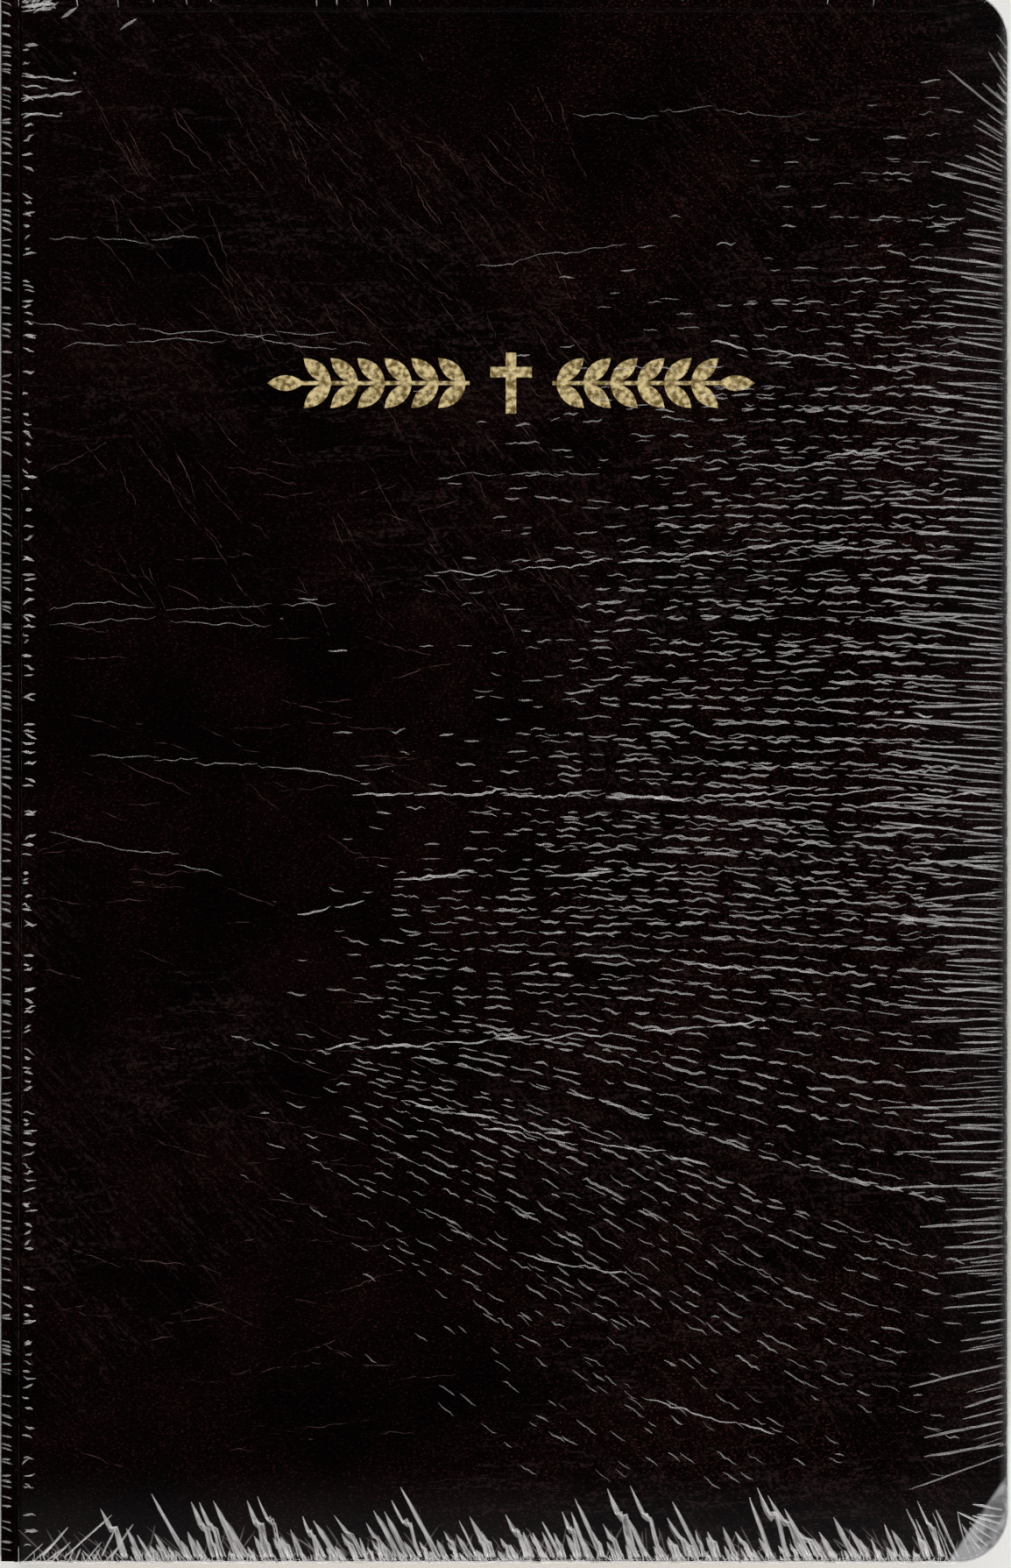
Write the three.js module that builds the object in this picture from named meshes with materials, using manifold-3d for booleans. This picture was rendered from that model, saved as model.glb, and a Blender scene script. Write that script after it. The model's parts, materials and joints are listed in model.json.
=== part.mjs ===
// A closed case-bound book in limp leather, lying on its back cover, in its opened-up shrink film.
// Millimetres, +Z up. Front cover up, head of the book along +Y, spine along -X, fore-edge along +X.
// The origin is the middle of the outline, on the surface that the book lies on.
import * as THREE from "three";
import { mergeVertices } from "three/addons/utils/BufferGeometryUtils.js";
import Module from "manifold-3d";

const wasm = await Module();
wasm.setup();

// ---- driving sizes -------------------------------------------------------------------------------
const BOOK_WIDTH = 146.3; // outside of the spine to the fore-edge of the covers
const BOOK_HEIGHT = 228; // head to tail of the covers
const BOOK_THICKNESS = 32.1; // resting surface to the top of the front film
const SQUARE = 3.3; // how far the covers reach past the pages at head, tail and fore-edge
const CORNER_RADIUS = 7.4; // rounded corners of the covers at the fore-edge
const PAGE_CORNER_RADIUS = 8; // rounded corners of the pages at the fore-edge

const FILM = 0.1; // thickness of the shrink film
const FILM_RIM = 1.7; // film folded over the inside edge of each cover
const GAP = 0.05; // clearance between flat pieces that lie on each other
const LEATHER_SKIN = 0.9; // leather on the outside of each board
const BOARD = 0.7; // stiffening board
const TURN_IN = 0.2; // leather turned in over the board's inside
const TURN_IN_WIDTH = 11; // how far it is turned in
const BOARD_INSET = 1.4; // leather round the board's edges
const SPINE_LEATHER = 1.3; // leather of the spine
const SPINE_LINER = 0.25; // paper liner behind it
const MULL = 0.15; // open-weave cloth glued to the backs of the sections
const JOINT_WIDTH = 0.75; // from the pages' spine edge to the edge of each cover's slab
const SPINE_END = 0.45; // how far the spine's pieces reach past the end pages at each end

const SECTIONS_BEHIND = 8; // page sections behind the middle opening
const SECTIONS_BEFORE = 7; // page sections before it, with the loose leaves on top of them
const LEAF = 0.18; // thickness of a loose leaf
const LEAF_NAMES = ["contents_leaf", "title_leaf", "presentation_leaf", "front_flyleaf"];
const PASTEDOWN_FREE = 0.1; // space between a pastedown and the flyleaf that faces it
const BEND_CLEARANCE = 0.35; // between the bound part of a section and its free part

const FRONT_JOINT_DROP = 1; // front joint leather below the cover's, so that the cover opens flat over it
const FRONT_HINGE_DEPTH = 0.5; // axis of the front cover's hinge below the film's top
const FRONT_HINGE_INSET = 0.35; // and inside the pages' spine edge

const BAND_THICKNESS = 1.1; // headband and tailband, along the spine's length
const BAND_DEPTH = 1.5; // and out over the page edges

const FOIL = 0.07; // gold foil
const FOIL_SINK = 0.15; // how deep the foil is stamped in
const ORNAMENT_WIDTH = 70.7; // stamped ornament, end to end
const ORNAMENT_HEIGHT = 8.8;
const ORNAMENT_X = 1;
const ORNAMENT_Y = 57;
const CROSS_ARM = 1.5; // width of the cross's arms
const CROSS_SPAN = 6; // length of its crosspiece
const CROSS_RISE = 0.18; // how far the crosspiece sits above the middle, as a share of the height
const BRANCH_GAP = 3; // from the cross to the branch on each side of it
const STEM = 0.55; // width of a branch's stem
const LEAF_PAIRS = 6; // leaves on each side of a stem
const LEAF_LENGTH = 5.4;
const LEAF_WIDTH = 2.3;
const LEAF_TILT = 42; // degrees between a leaf and its stem

// ---- worked-out places ---------------------------------------------------------------------------
const spineOutX = -BOOK_WIDTH / 2;
const foreX = BOOK_WIDTH / 2;
const headY = BOOK_HEIGHT / 2;
const coverThickness = LEATHER_SKIN + BOARD + TURN_IN + 2 * GAP;
const spineThickness = FILM + GAP + SPINE_LEATHER + GAP + SPINE_LINER + GAP + MULL + GAP;
const spineX = spineOutX + spineThickness; // back edges of the pages
const coverX = spineX + JOINT_WIDTH; // spine edges of the covers' slabs
const backPivotZ = FILM + GAP + coverThickness + PASTEDOWN_FREE;
const frontPivotZ = BOOK_THICKNESS - backPivotZ;
const pageForeX = foreX - SQUARE - FILM;
const pageHeadY = headY - SQUARE;
const frontHingeX = spineX + FRONT_HINGE_INSET;
const frontHingeZ = BOOK_THICKNESS - FRONT_HINGE_DEPTH;
const leafPitch = LEAF + GAP;
const backFlyleafTop = backPivotZ + LEAF;
const sectionsTop = frontPivotZ - LEAF_NAMES.length * leafPitch;
const sectionCount = SECTIONS_BEHIND + SECTIONS_BEFORE;
const sectionPitch = (sectionsTop - backFlyleafTop) / sectionCount;

// ---- materials -----------------------------------------------------------------------------------
function finish(color, roughness, metalness = 0) {
  return new THREE.MeshStandardMaterial({ color, roughness, metalness });
}
const leather = finish(0x14070a, 0.45);
const board = finish(0x8d8577, 0.9);
const paper = finish(0xf2ecdc, 0.85);
const endpaper = finish(0x2a0f12, 0.8);
const cloth = finish(0xe6e0cf, 0.95);
const bandSilk = finish(0x7c1d22, 0.7);
const foil = finish(0xa38e5f, 0.3, 1);
const film = finish(0xdfe3e8, 0.1);
film.transparent = true;
film.opacity = 0.3;

// ---- shapes --------------------------------------------------------------------------------------
/** A plate between two heights whose two fore-edge corners are rounded. */
function plate({ x0, x1, halfY, z0, z1, radius = 0 }) {
  const outline = new THREE.Shape();
  outline.moveTo(x0, -halfY);
  outline.lineTo(x1 - radius, -halfY);
  if (radius > 0) outline.absarc(x1 - radius, -halfY + radius, radius, -Math.PI / 2, 0, false);
  outline.lineTo(x1, halfY - radius);
  if (radius > 0) outline.absarc(x1 - radius, halfY - radius, radius, 0, Math.PI / 2, false);
  outline.lineTo(x0, halfY);
  outline.closePath();
  const solid = new THREE.ExtrudeGeometry(outline, {
    depth: z1 - z0,
    bevelEnabled: false,
    curveSegments: 10,
  });
  return solid.translate(0, 0, z0);
}

/** A box given by its two corners. */
function box(low, high) {
  const size = high.map((value, axis) => value - low[axis]);
  const centre = high.map((value, axis) => (value + low[axis]) / 2);
  return new THREE.BoxGeometry(...size).translate(...centre);
}

function toManifold(geometry) {
  const bare = geometry.clone();
  bare.deleteAttribute("normal");
  bare.deleteAttribute("uv");
  const merged = mergeVertices(bare, 1e-5);
  return new wasm.Manifold(
    new wasm.Mesh({
      numProp: 3,
      vertProperties: new Float32Array(merged.attributes.position.array),
      triVerts: new Uint32Array(merged.index.array),
    }),
  );
}

function fromManifold(solid) {
  const mesh = solid.getMesh();
  const geometry = new THREE.BufferGeometry();
  geometry.setAttribute("position", new THREE.BufferAttribute(mesh.vertProperties, 3));
  geometry.setIndex(new THREE.BufferAttribute(mesh.triVerts, 1));
  geometry.computeVertexNormals();
  return geometry;
}

function cut(body, ...tools) {
  return fromManifold(tools.reduce((left, tool) => left.subtract(toManifold(tool)), toManifold(body)));
}

function join(body, ...others) {
  return fromManifold(others.reduce((all, other) => all.add(toManifold(other)), toManifold(body)));
}

// ---- the model -----------------------------------------------------------------------------------
const bible = new THREE.Group();

function add(name, geometry, material) {
  const mesh = new THREE.Mesh(geometry, material);
  mesh.name = name;
  bible.add(mesh);
}

/** Turns a height measured from the outside of the back cover into that cover's or its mirror's. */
function span(front, low, high) {
  return front
    ? { z0: BOOK_THICKNESS - high, z1: BOOK_THICKNESS - low }
    : { z0: low, z1: high };
}

/** One cover: its film, its leather with the turned-in rim, the board in it and the pastedown. */
function addCover(side, front) {
  const outZ = FILM + GAP;
  const skinZ = outZ + LEATHER_SKIN;
  const flangeZ = skinZ + BOARD + 2 * GAP;
  const insideZ = outZ + coverThickness;
  const edge = FILM + GAP;
  const leatherPlate = {
    x0: coverX,
    x1: foreX - edge,
    halfY: headY - edge,
    radius: CORNER_RADIUS - edge,
  };
  const inset = (distance) => ({
    x0: coverX + distance,
    x1: foreX - edge - distance,
    halfY: headY - edge - distance,
    radius: Math.max(CORNER_RADIUS - edge - distance, 0.5),
  });
  const boardOutline = inset(BOARD_INSET);
  const windowOutline = inset(TURN_IN_WIDTH);
  const through = 1; // cutters run this far past the face they open

  const cutters = [
    plate({ ...boardOutline, ...span(front, skinZ, flangeZ) }),
    plate({ ...windowOutline, ...span(front, flangeZ - GAP, insideZ + through) }),
  ];
  if (front) cutters.push(...Object.values(ornament(FOIL_SINK + through, through, GAP)));
  const slab = plate({ ...leatherPlate, ...span(front, outZ, insideZ) });
  add(`${side}_leather`, cut(slab, ...cutters), leather);
  const shrink = (shape) => ({
    x0: shape.x0 + GAP,
    x1: shape.x1 - GAP,
    halfY: shape.halfY - GAP,
    radius: shape.radius - GAP,
  });
  const stiffener = { ...shrink(boardOutline), ...span(front, skinZ + GAP, flangeZ - GAP) };
  add(`${side}_board`, plate(stiffener), board);
  const pasted = { ...shrink(windowOutline), ...span(front, flangeZ, insideZ - GAP) };
  add(`${side}_pastedown`, plate(pasted), endpaper);

  const filmPlate = { x0: coverX, x1: foreX, halfY: headY, radius: CORNER_RADIUS };
  const filmInside = { ...inset(-GAP), x0: coverX - through };
  const filmWindow = { ...inset(FILM_RIM), x0: coverX - through };
  const filmTop = insideZ + GAP + FILM;
  const filmBody = cut(
    plate({ ...filmPlate, ...span(front, 0, filmTop) }),
    plate({ ...filmInside, ...span(front, FILM, insideZ + GAP) }),
    plate({ ...filmWindow, ...span(front, insideZ, filmTop + through) }),
  );
  add(`${side}_film`, filmBody, film);
}

/** The stamped ornament: a cross with a leafy branch on each side of it, each grown by a margin. */
function ornament(depth, above, grow) {
  const face = BOOK_THICKNESS - FILM - GAP;
  const place = (solid) => solid.translate(ORNAMENT_X, ORNAMENT_Y, face + above - depth);
  const upright = bar(CROSS_ARM + 2 * grow, ORNAMENT_HEIGHT + 2 * grow, depth);
  const crosspiece = bar(CROSS_SPAN + 2 * grow, CROSS_ARM + 2 * grow, depth);
  crosspiece.translate(0, ORNAMENT_HEIGHT * CROSS_RISE, 0);
  return {
    foil_cross: place(join(upright, crosspiece)),
    foil_branch_right: place(branch(depth, grow)),
    foil_branch_left: place(branch(depth, grow).rotateZ(Math.PI)),
  };
}

function bar(width, height, depth) {
  return new THREE.BoxGeometry(width, height, depth).translate(0, 0, depth / 2);
}

/** A pointed leaf that starts at the origin and points along +X. */
function leaf(length, width, depth) {
  const outline = new THREE.Shape();
  outline.moveTo(0, 0);
  outline.quadraticCurveTo(length / 2, -width, length, 0);
  outline.quadraticCurveTo(length / 2, width, 0, 0);
  return new THREE.ExtrudeGeometry(outline, { depth, bevelEnabled: false, curveSegments: 6 });
}

/** A stem along +X with pairs of leaves and one at its tip. */
function branch(depth, grow) {
  const start = CROSS_SPAN / 2 + BRANCH_GAP - grow;
  const tip = ORNAMENT_WIDTH / 2 + grow;
  const stemEnd = tip - LEAF_LENGTH;
  const stem = bar(stemEnd - start + LEAF_LENGTH / 2, STEM + 2 * grow, depth);
  stem.translate((start + stemEnd + LEAF_LENGTH / 2) / 2, 0, 0);
  const length = LEAF_LENGTH + 2 * grow;
  const width = LEAF_WIDTH + 2 * grow;
  const leaves = [leaf(length, width, depth).translate(tip - length, 0, 0)];
  const pitch = (stemEnd - start - STEM) / LEAF_PAIRS;
  for (let pair = 0; pair < LEAF_PAIRS; pair += 1) {
    for (const side of [-1, 1]) {
      const turned = leaf(length, width, depth).rotateZ(THREE.MathUtils.degToRad(side * LEAF_TILT));
      leaves.push(turned.translate(start + STEM + pair * pitch, 0, 0));
    }
  }
  return join(stem, ...leaves);
}

function addFoil() {
  const pieces = ornament(FOIL, FOIL + GAP - FOIL_SINK, 0);
  for (const [name, geometry] of Object.entries(pieces)) add(name, geometry, foil);
}

/** The spine's layers, from its film in to the cloth on the backs of the sections. */
function addSpine() {
  const low = backPivotZ - SPINE_END;
  const high = frontPivotZ + SPINE_END;
  const edge = FILM + GAP;
  let x = spineOutX;
  const layer = (name, thickness, material, halfY) => {
    add(name, box([x, -halfY, low], [x + thickness, halfY, high]), material);
    x += thickness + GAP;
  };
  layer("spine_film", FILM, film, headY);
  layer("spine_leather", SPINE_LEATHER, leather, headY - edge);
  layer("spine_liner", SPINE_LINER, paper, pageHeadY);
  layer("mull", MULL, cloth, pageHeadY - 10);
  for (const [name, sign] of [["headband", 1], ["tailband", -1]]) {
    const y0 = sign * (pageHeadY + GAP);
    const y1 = sign * (pageHeadY + GAP + BAND_THICKNESS);
    add(
      name,
      box(
        [spineX - SPINE_LINER, Math.min(y0, y1), backPivotZ + BAND_DEPTH],
        [spineX + BAND_DEPTH, Math.max(y0, y1), frontPivotZ - BAND_DEPTH],
      ),
      bandSilk,
    );
  }
}

/** The leather of one joint, which bends where a cover meets the spine. */
function addJoint(side, front) {
  const edge = FILM + GAP;
  const drop = front ? FRONT_JOINT_DROP : 0;
  const { z0, z1 } = span(front, edge + drop, backPivotZ - SPINE_END - GAP);
  const x1 = front ? frontHingeX - FRONT_HINGE_DEPTH : coverX - GAP;
  add(`${side}_joint_leather`, box([spineOutX + edge, -headY + edge, z0], [x1, headY - edge, z1]), leather);
}

/** How far a page at this distance from its cover slides as the book is opened in the middle. */
function bend(distance) {
  return (Math.PI / 2) * distance;
}

/** The page sections, each a free slab, and the stepped stack of their bound parts at the spine. */
function addSections() {
  const bound = { rear: [], front: [] };
  for (let index = 0; index < sectionCount; index += 1) {
    const side = index < SECTIONS_BEHIND ? "rear" : "front";
    const z0 = backFlyleafTop + index * sectionPitch + GAP;
    const z1 = backFlyleafTop + (index + 1) * sectionPitch;
    const middle = (z0 + z1) / 2;
    const distance = side === "rear" ? middle - backPivotZ : frontPivotZ - middle;
    const boundX = spineX + bend(distance);
    const number = side === "rear" ? index + 1 : sectionCount - index;
    const sheets = { x1: pageForeX, halfY: pageHeadY, radius: PAGE_CORNER_RADIUS };
    add(
      `${side}_section_${number}`,
      plate({ ...sheets, x0: boundX + BEND_CLEARANCE, z0, z1 }),
      paper,
    );
    bound[side].push({ x: boundX, z0: z0 - GAP, z1 });
  }
  for (const [side, steps] of Object.entries(bound)) {
    const first = steps[0];
    const last = steps[steps.length - 1];
    const stairs = steps.flatMap(({ x, z0, z1 }) => [[x, z0], [x, z1]]);
    stairs[0][1] = first.z0 + GAP;
    const outline = [[spineX + GAP, first.z0 + GAP], ...stairs, [spineX + GAP, last.z1]];
    add(`${side}_gutter`, prismAlongY(outline, pageHeadY), paper);
  }
}

/** A solid whose outline in X and Z is given, from one edge of the pages to the other. */
function prismAlongY(points, halfY) {
  const outline = new THREE.Shape(points.map(([x, z]) => new THREE.Vector2(x, z)));
  const solid = new THREE.ExtrudeGeometry(outline, { depth: 2 * halfY, bevelEnabled: false });
  return solid.rotateX(Math.PI / 2).translate(0, halfY, 0);
}

/** The loose leaves: four under the front cover, one on the back cover. */
function addLeaves() {
  const sheet = { x1: pageForeX, halfY: pageHeadY, radius: PAGE_CORNER_RADIUS };
  add(
    "back_flyleaf",
    plate({ ...sheet, x0: coverX, z0: backPivotZ, z1: backFlyleafTop }),
    endpaper,
  );
  LEAF_NAMES.forEach((name, index) => {
    const z0 = sectionsTop + index * leafPitch + GAP;
    const material = index === LEAF_NAMES.length - 1 ? endpaper : paper;
    add(name, plate({ ...sheet, x0: coverX, z0, z1: z0 + LEAF }), material);
  });
}

addCover("back", false);
addCover("front", true);
addFoil();
addSpine();
addJoint("back", false);
addJoint("front", true);
addSections();
addLeaves();

export default bible;
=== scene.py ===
"""A thick limp-leather bible in its shrink film, lying closed on its back cover."""

import json
import logging
import math
import random
from dataclasses import dataclass, field
from enum import Enum

import bmesh
import bpy
from mathutils import Matrix, Vector

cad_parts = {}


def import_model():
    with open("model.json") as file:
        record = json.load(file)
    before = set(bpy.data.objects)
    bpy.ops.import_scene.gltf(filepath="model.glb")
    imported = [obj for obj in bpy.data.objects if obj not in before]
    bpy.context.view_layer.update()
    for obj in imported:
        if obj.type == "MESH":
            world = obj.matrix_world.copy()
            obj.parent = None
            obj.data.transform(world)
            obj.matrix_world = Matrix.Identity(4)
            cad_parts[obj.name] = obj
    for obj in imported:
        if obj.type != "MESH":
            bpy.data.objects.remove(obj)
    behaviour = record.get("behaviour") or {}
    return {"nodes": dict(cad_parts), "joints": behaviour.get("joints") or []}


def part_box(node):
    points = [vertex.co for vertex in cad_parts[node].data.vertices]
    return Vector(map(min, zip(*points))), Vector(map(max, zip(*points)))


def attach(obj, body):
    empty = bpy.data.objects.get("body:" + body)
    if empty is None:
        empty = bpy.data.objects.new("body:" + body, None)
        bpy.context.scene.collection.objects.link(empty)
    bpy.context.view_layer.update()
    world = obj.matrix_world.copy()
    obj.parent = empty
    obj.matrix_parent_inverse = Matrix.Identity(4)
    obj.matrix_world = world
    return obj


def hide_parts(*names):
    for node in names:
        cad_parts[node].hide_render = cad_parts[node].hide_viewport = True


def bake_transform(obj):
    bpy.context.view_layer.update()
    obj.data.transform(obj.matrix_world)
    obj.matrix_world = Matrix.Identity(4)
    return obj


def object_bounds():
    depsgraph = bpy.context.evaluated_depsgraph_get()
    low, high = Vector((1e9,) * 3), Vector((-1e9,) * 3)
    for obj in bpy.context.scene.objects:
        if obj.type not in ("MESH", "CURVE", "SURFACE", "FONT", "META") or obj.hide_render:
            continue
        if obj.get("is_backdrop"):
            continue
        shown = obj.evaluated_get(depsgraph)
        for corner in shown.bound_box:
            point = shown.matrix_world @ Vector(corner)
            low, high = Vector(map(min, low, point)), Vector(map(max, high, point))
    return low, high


MM = 0.001
logging.basicConfig(level=logging.INFO, format="%(message)s")
LOG = logging.getLogger("bible")

Point = tuple[float, float, float]
Socket = bpy.types.NodeSocket
Material = bpy.types.Material
Piece = bpy.types.Object
Shape = bmesh.types.BMesh

LEATHER_CORNER = 7.25 * MM  # rounded corners of the covers' leather at the fore-edge
FILM_CORNER = 7.4 * MM  # and of the film round it
CORNER_STEPS = 14
LEVEL_STRIP = 0.4 * MM  # kept level inside a rounded rim
FOLD_WIDTH = 0.17 * MM  # half of a film fold's widest width
FOLD_STEP = 1.1 * MM  # about how far apart the points of a fold are
FILM_SINK = 0.02 * MM  # how far the feet of the folds lie in the film

# Filled in by main(): the frame's nodes, and a point on each joint's axis.
FRAME_NODES: dict[str, Piece] = {}
FRAME_PIVOTS: dict[str, Vector] = {}


# ---- shader helper -------------------------------------------------------------------------------
class Shader:
    """A material's node tree, built node by node."""

    def __init__(self, name: str, bends: bool = True) -> None:
        """Start an empty material.

        Args:
            name: the material's name.
            bends: whether its pieces keep their rest places, which a bend doesn't move.
        """
        self.bends = bends
        self.material = bpy.data.materials.new(name)
        self.material.use_nodes = True
        self.tree = self.material.node_tree
        self.tree.nodes.clear()
        self.output = self.tree.nodes.new("ShaderNodeOutputMaterial")

    def node(self, kind: str, **values: object) -> bpy.types.Node:
        """Add a node and set its properties, inputs and links.

        Args:
            kind: the node's type name without the ShaderNode prefix.
            values: properties by name; an input is given as in_NAME with _ for a space.
        Returns:
            The new node.
        """
        made = self.tree.nodes.new("ShaderNode" + kind)
        for key, value in values.items():
            if not key.startswith("in_"):
                setattr(made, key, value)
                continue
            name = key[3:]
            socket = made.inputs[int(name)] if name.isdigit() else made.inputs[name.replace("_", " ")]
            if isinstance(value, Socket):
                self.tree.links.new(value, socket)
            else:
                socket.default_value = value
        return made

    def place(self, turn: float = 0.0, stretch: Point = (1, 1, 1)) -> Socket:
        """The piece's own rest coordinates, turned about Z and stretched.

        Args:
            turn: degrees about Z.
            stretch: scale along each axis.
        Returns:
            A vector socket.
        """
        if self.bends:
            rest = self.node("Attribute", attribute_name="rest").outputs["Vector"]
        else:
            rest = self.node("TexCoord").outputs["Object"]
        turned = self.node("Mapping", in_Vector=rest, in_Rotation=(0, 0, math.radians(turn)))
        return self.node("Mapping", in_Vector=turned.outputs[0], in_Scale=stretch).outputs[0]

    def axes(self) -> tuple[Socket, ...]:
        """X, Y and Z of the rest coordinates."""
        return tuple(self.node("SeparateXYZ", in_0=self.place()).outputs)

    def noise(self, scale: float, detail: float = 2.0, vector: Socket | None = None,
              rough: float = 0.5) -> Socket:
        """Noise from 0 to 1 at a scale in cells per metre."""
        return self.node("TexNoise", in_Vector=vector or self.place(), in_Scale=scale,
                         in_Detail=detail, in_Roughness=rough).outputs["Fac"]

    def math(self, operation: str, a: object, b: object = 0.5, clamp: bool = False) -> Socket:
        """One arithmetic step."""
        return self.node("Math", operation=operation, use_clamp=clamp, in_0=a, in_1=b).outputs[0]

    def times(self, product: object, *factors: object) -> Socket:
        """The product of two or more values.

        Args:
            product: the first value.
            factors: the others.
        Returns:
            Their product.
        """
        for factor in factors:
            product = self.math("MULTIPLY", product, factor)
        return product

    def plus(self, total: object, *terms: object) -> Socket:
        """The sum of two or more values.

        Args:
            total: the first value.
            terms: the others.
        Returns:
            Their sum.
        """
        for term in terms:
            total = self.math("ADD", total, term)
        return total

    def ramp(self, value: Socket, low: float, high: float,
             out_low: float = 0.0, out_high: float = 1.0) -> Socket:
        """Value rescaled from low..high to out_low..out_high, smooth and clamped."""
        return self.node("MapRange", interpolation_type="SMOOTHSTEP", in_Value=value, in_From_Min=low,
                         in_From_Max=high, in_To_Min=out_low, in_To_Max=out_high).outputs[0]

    def ridge(self, noise: Socket, width: float) -> Socket:
        """Thin lines where a noise crosses its middle value, 1 on the line."""
        away = self.math("ABSOLUTE", self.math("SUBTRACT", noise, 0.5))
        return self.ramp(away, 0.0, width, 1.0, 0.0)

    def tint(self, amount: Socket, low: Point | Socket, high: Point) -> Socket:
        """A colour between two colours, of which the first may be a pattern."""
        under = (*low, 1) if isinstance(low, tuple) else low
        return self.node("Mix", data_type="RGBA", in_0=amount, in_6=under, in_7=(*high, 1)).outputs[2]

    def bump(self, height: Socket, distance: float, strength: float = 1.0,
             under: Socket | None = None) -> Socket:
        """A normal from a height, over another normal if one is given.

        Args:
            height: the height, from 0 to 1.
            distance: how high a height of 1 is, in metres.
            strength: how much it shows.
            under: the normal below it, if any.
        Returns:
            The normal.
        """
        made = self.node("Bump", in_Height=height, in_Distance=distance, in_Strength=strength)
        if under is not None:
            self.tree.links.new(under, made.inputs["Normal"])
        return made.outputs[0]

    def lay(self, amount: Socket, under: bpy.types.Node, over: bpy.types.Node) -> bpy.types.Node:
        """Lay one shader over another by an amount."""
        return self.node("MixShader", in_0=amount, in_1=under.outputs[0], in_2=over.outputs[0])

    def close(self, shader: bpy.types.Node) -> Material:
        """Finish with a shader and return the material."""
        self.tree.links.new(shader.outputs[0], self.output.inputs["Surface"])
        return self.material

    def surface(self, **inputs: object) -> Material:
        """Finish with one Principled BSDF and return the material."""
        return self.close(self.node("BsdfPrincipled", **inputs))


# ---- finishes ------------------------------------------------------------------------------------
@dataclass(frozen=True)
class BondedLeather:
    """Near-black burgundy bonded leather: pebbled grain, scuff hairlines and fine specks of painted
    glint.
    """

    deep: Point = (0.0006, 0.00005, 0.00005)
    light: Point = (0.0026, 0.0004, 0.0004)
    # painted glint: the colour of light specks that stand for the grain catching the lamps
    painted_glint_tone: Point = (0.04, 0.013, 0.012)
    scuffed: Point = (0.034, 0.017, 0.017)
    roughness: float = 0.3
    shine: float = 0.015
    pebbles: float = 1250.0
    pores: float = 3600.0
    painted_glint_scale: float = 2500.0
    patches: float = 60.0
    dents: float = 210.0
    block_x: float = 69.9 * MM
    block_y: float = 111.1 * MM
    block_round: float = 8.0 * MM
    press_width: float = 0.4 * MM

    def imprint(self, s: Shader) -> Socket:
        """How near a place is to the line that the page block presses into the cover.

        Args:
            s: the shader that gets the nodes.
        Returns:
            1 on the line, falling to 0 beside it.
        """
        x, y, _ = s.axes()
        over_x = s.math("SUBTRACT", x, self.block_x - self.block_round)
        over_y = s.math("SUBTRACT", s.math("ABSOLUTE", y), self.block_y - self.block_round)
        over = s.node("CombineXYZ", in_0=s.math("MAXIMUM", over_x, 0.0),
                      in_1=s.math("MAXIMUM", over_y, 0.0))
        reach = s.node("VectorMath", operation="LENGTH", in_0=over.outputs[0]).outputs["Value"]
        away = s.math("ABSOLUTE", s.math("SUBTRACT", reach, self.block_round))
        return s.ramp(away, 0.0, self.press_width, 1.0, 0.0)

    def hairlines(self, s: Shader) -> Socket:
        """Broken scuff lines, slanting in some patches and level in others.

        Args:
            s: the shader that gets the nodes.
        Returns:
            1 on a line, 0 away from it.
        """
        scuffs = s.ridge(s.noise(34.0, 4.0, s.place(47.0, (1.0, 9.0, 1.0)), 0.62), 0.02)
        scuff_where = s.ramp(s.noise(22.0, 1.0), 0.45, 0.62)
        veins = s.ridge(s.noise(30.0, 5.0, s.place(-3.0, (1.0, 5.5, 1.0)), 0.66), 0.02)
        vein_where = s.ramp(s.noise(17.0, 1.0, s.place(0.0, (1.0, 1.4, 1.0))), 0.47, 0.6)
        broken = s.ramp(s.noise(1500.0, 2.0), 0.42, 0.6, 0.1, 1.0)
        return s.times(broken, s.math("MAXIMUM", s.times(scuffs, scuff_where),
                                      s.times(veins, vein_where)))

    def build(self) -> Material:
        """Make the material.

        Returns:
            The material.
        """
        s = Shader("bonded_leather")
        pebble = s.node("TexVoronoi", in_Vector=s.place(), in_Scale=self.pebbles,
                        feature="DISTANCE_TO_EDGE").outputs[0]
        wide = s.noise(self.patches, 3.0)
        lines = self.hairlines(s)
        # painted glints: light specks in the base colour that stand for the grain's glints, brighter
        # towards the fore-edge
        painted_glints = s.times(s.ramp(s.noise(self.painted_glint_scale, 3.0, s.place(0.0, (1.0, 1.8, 1.0))), 0.6, 0.66),
                        s.ramp(wide, 0.3, 0.7, 0.35, 1.0),
                        s.ramp(s.axes()[0], -30 * MM, 50 * MM, 0.8, 1.6), 0.8)
        base = s.tint(s.ramp(wide, 0.3, 0.75), self.deep, self.light)
        base = s.tint(painted_glints, base, self.painted_glint_tone)
        base = s.tint(s.times(lines, 0.4), base, self.scuffed)
        grain = s.plus(s.times(s.ramp(pebble, 0.0, 0.28), 0.6), s.times(s.noise(self.pores, 3.0), 0.5))
        normal = s.bump(grain, 0.00011, 0.6)
        normal = s.bump(s.noise(self.dents, 2.0), 0.00045, 0.15, normal)
        normal = s.bump(lines, 0.00016, 0.5, normal)
        normal = s.bump(s.times(self.imprint(s), -1.0), 0.00016, 0.8, normal)
        rough = s.ramp(wide, 0.2, 0.8, self.roughness - 0.06, self.roughness + 0.1)
        return s.surface(in_Base_Color=base, in_Roughness=rough, in_Normal=normal,
                         in_Specular_IOR_Level=self.shine)


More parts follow.
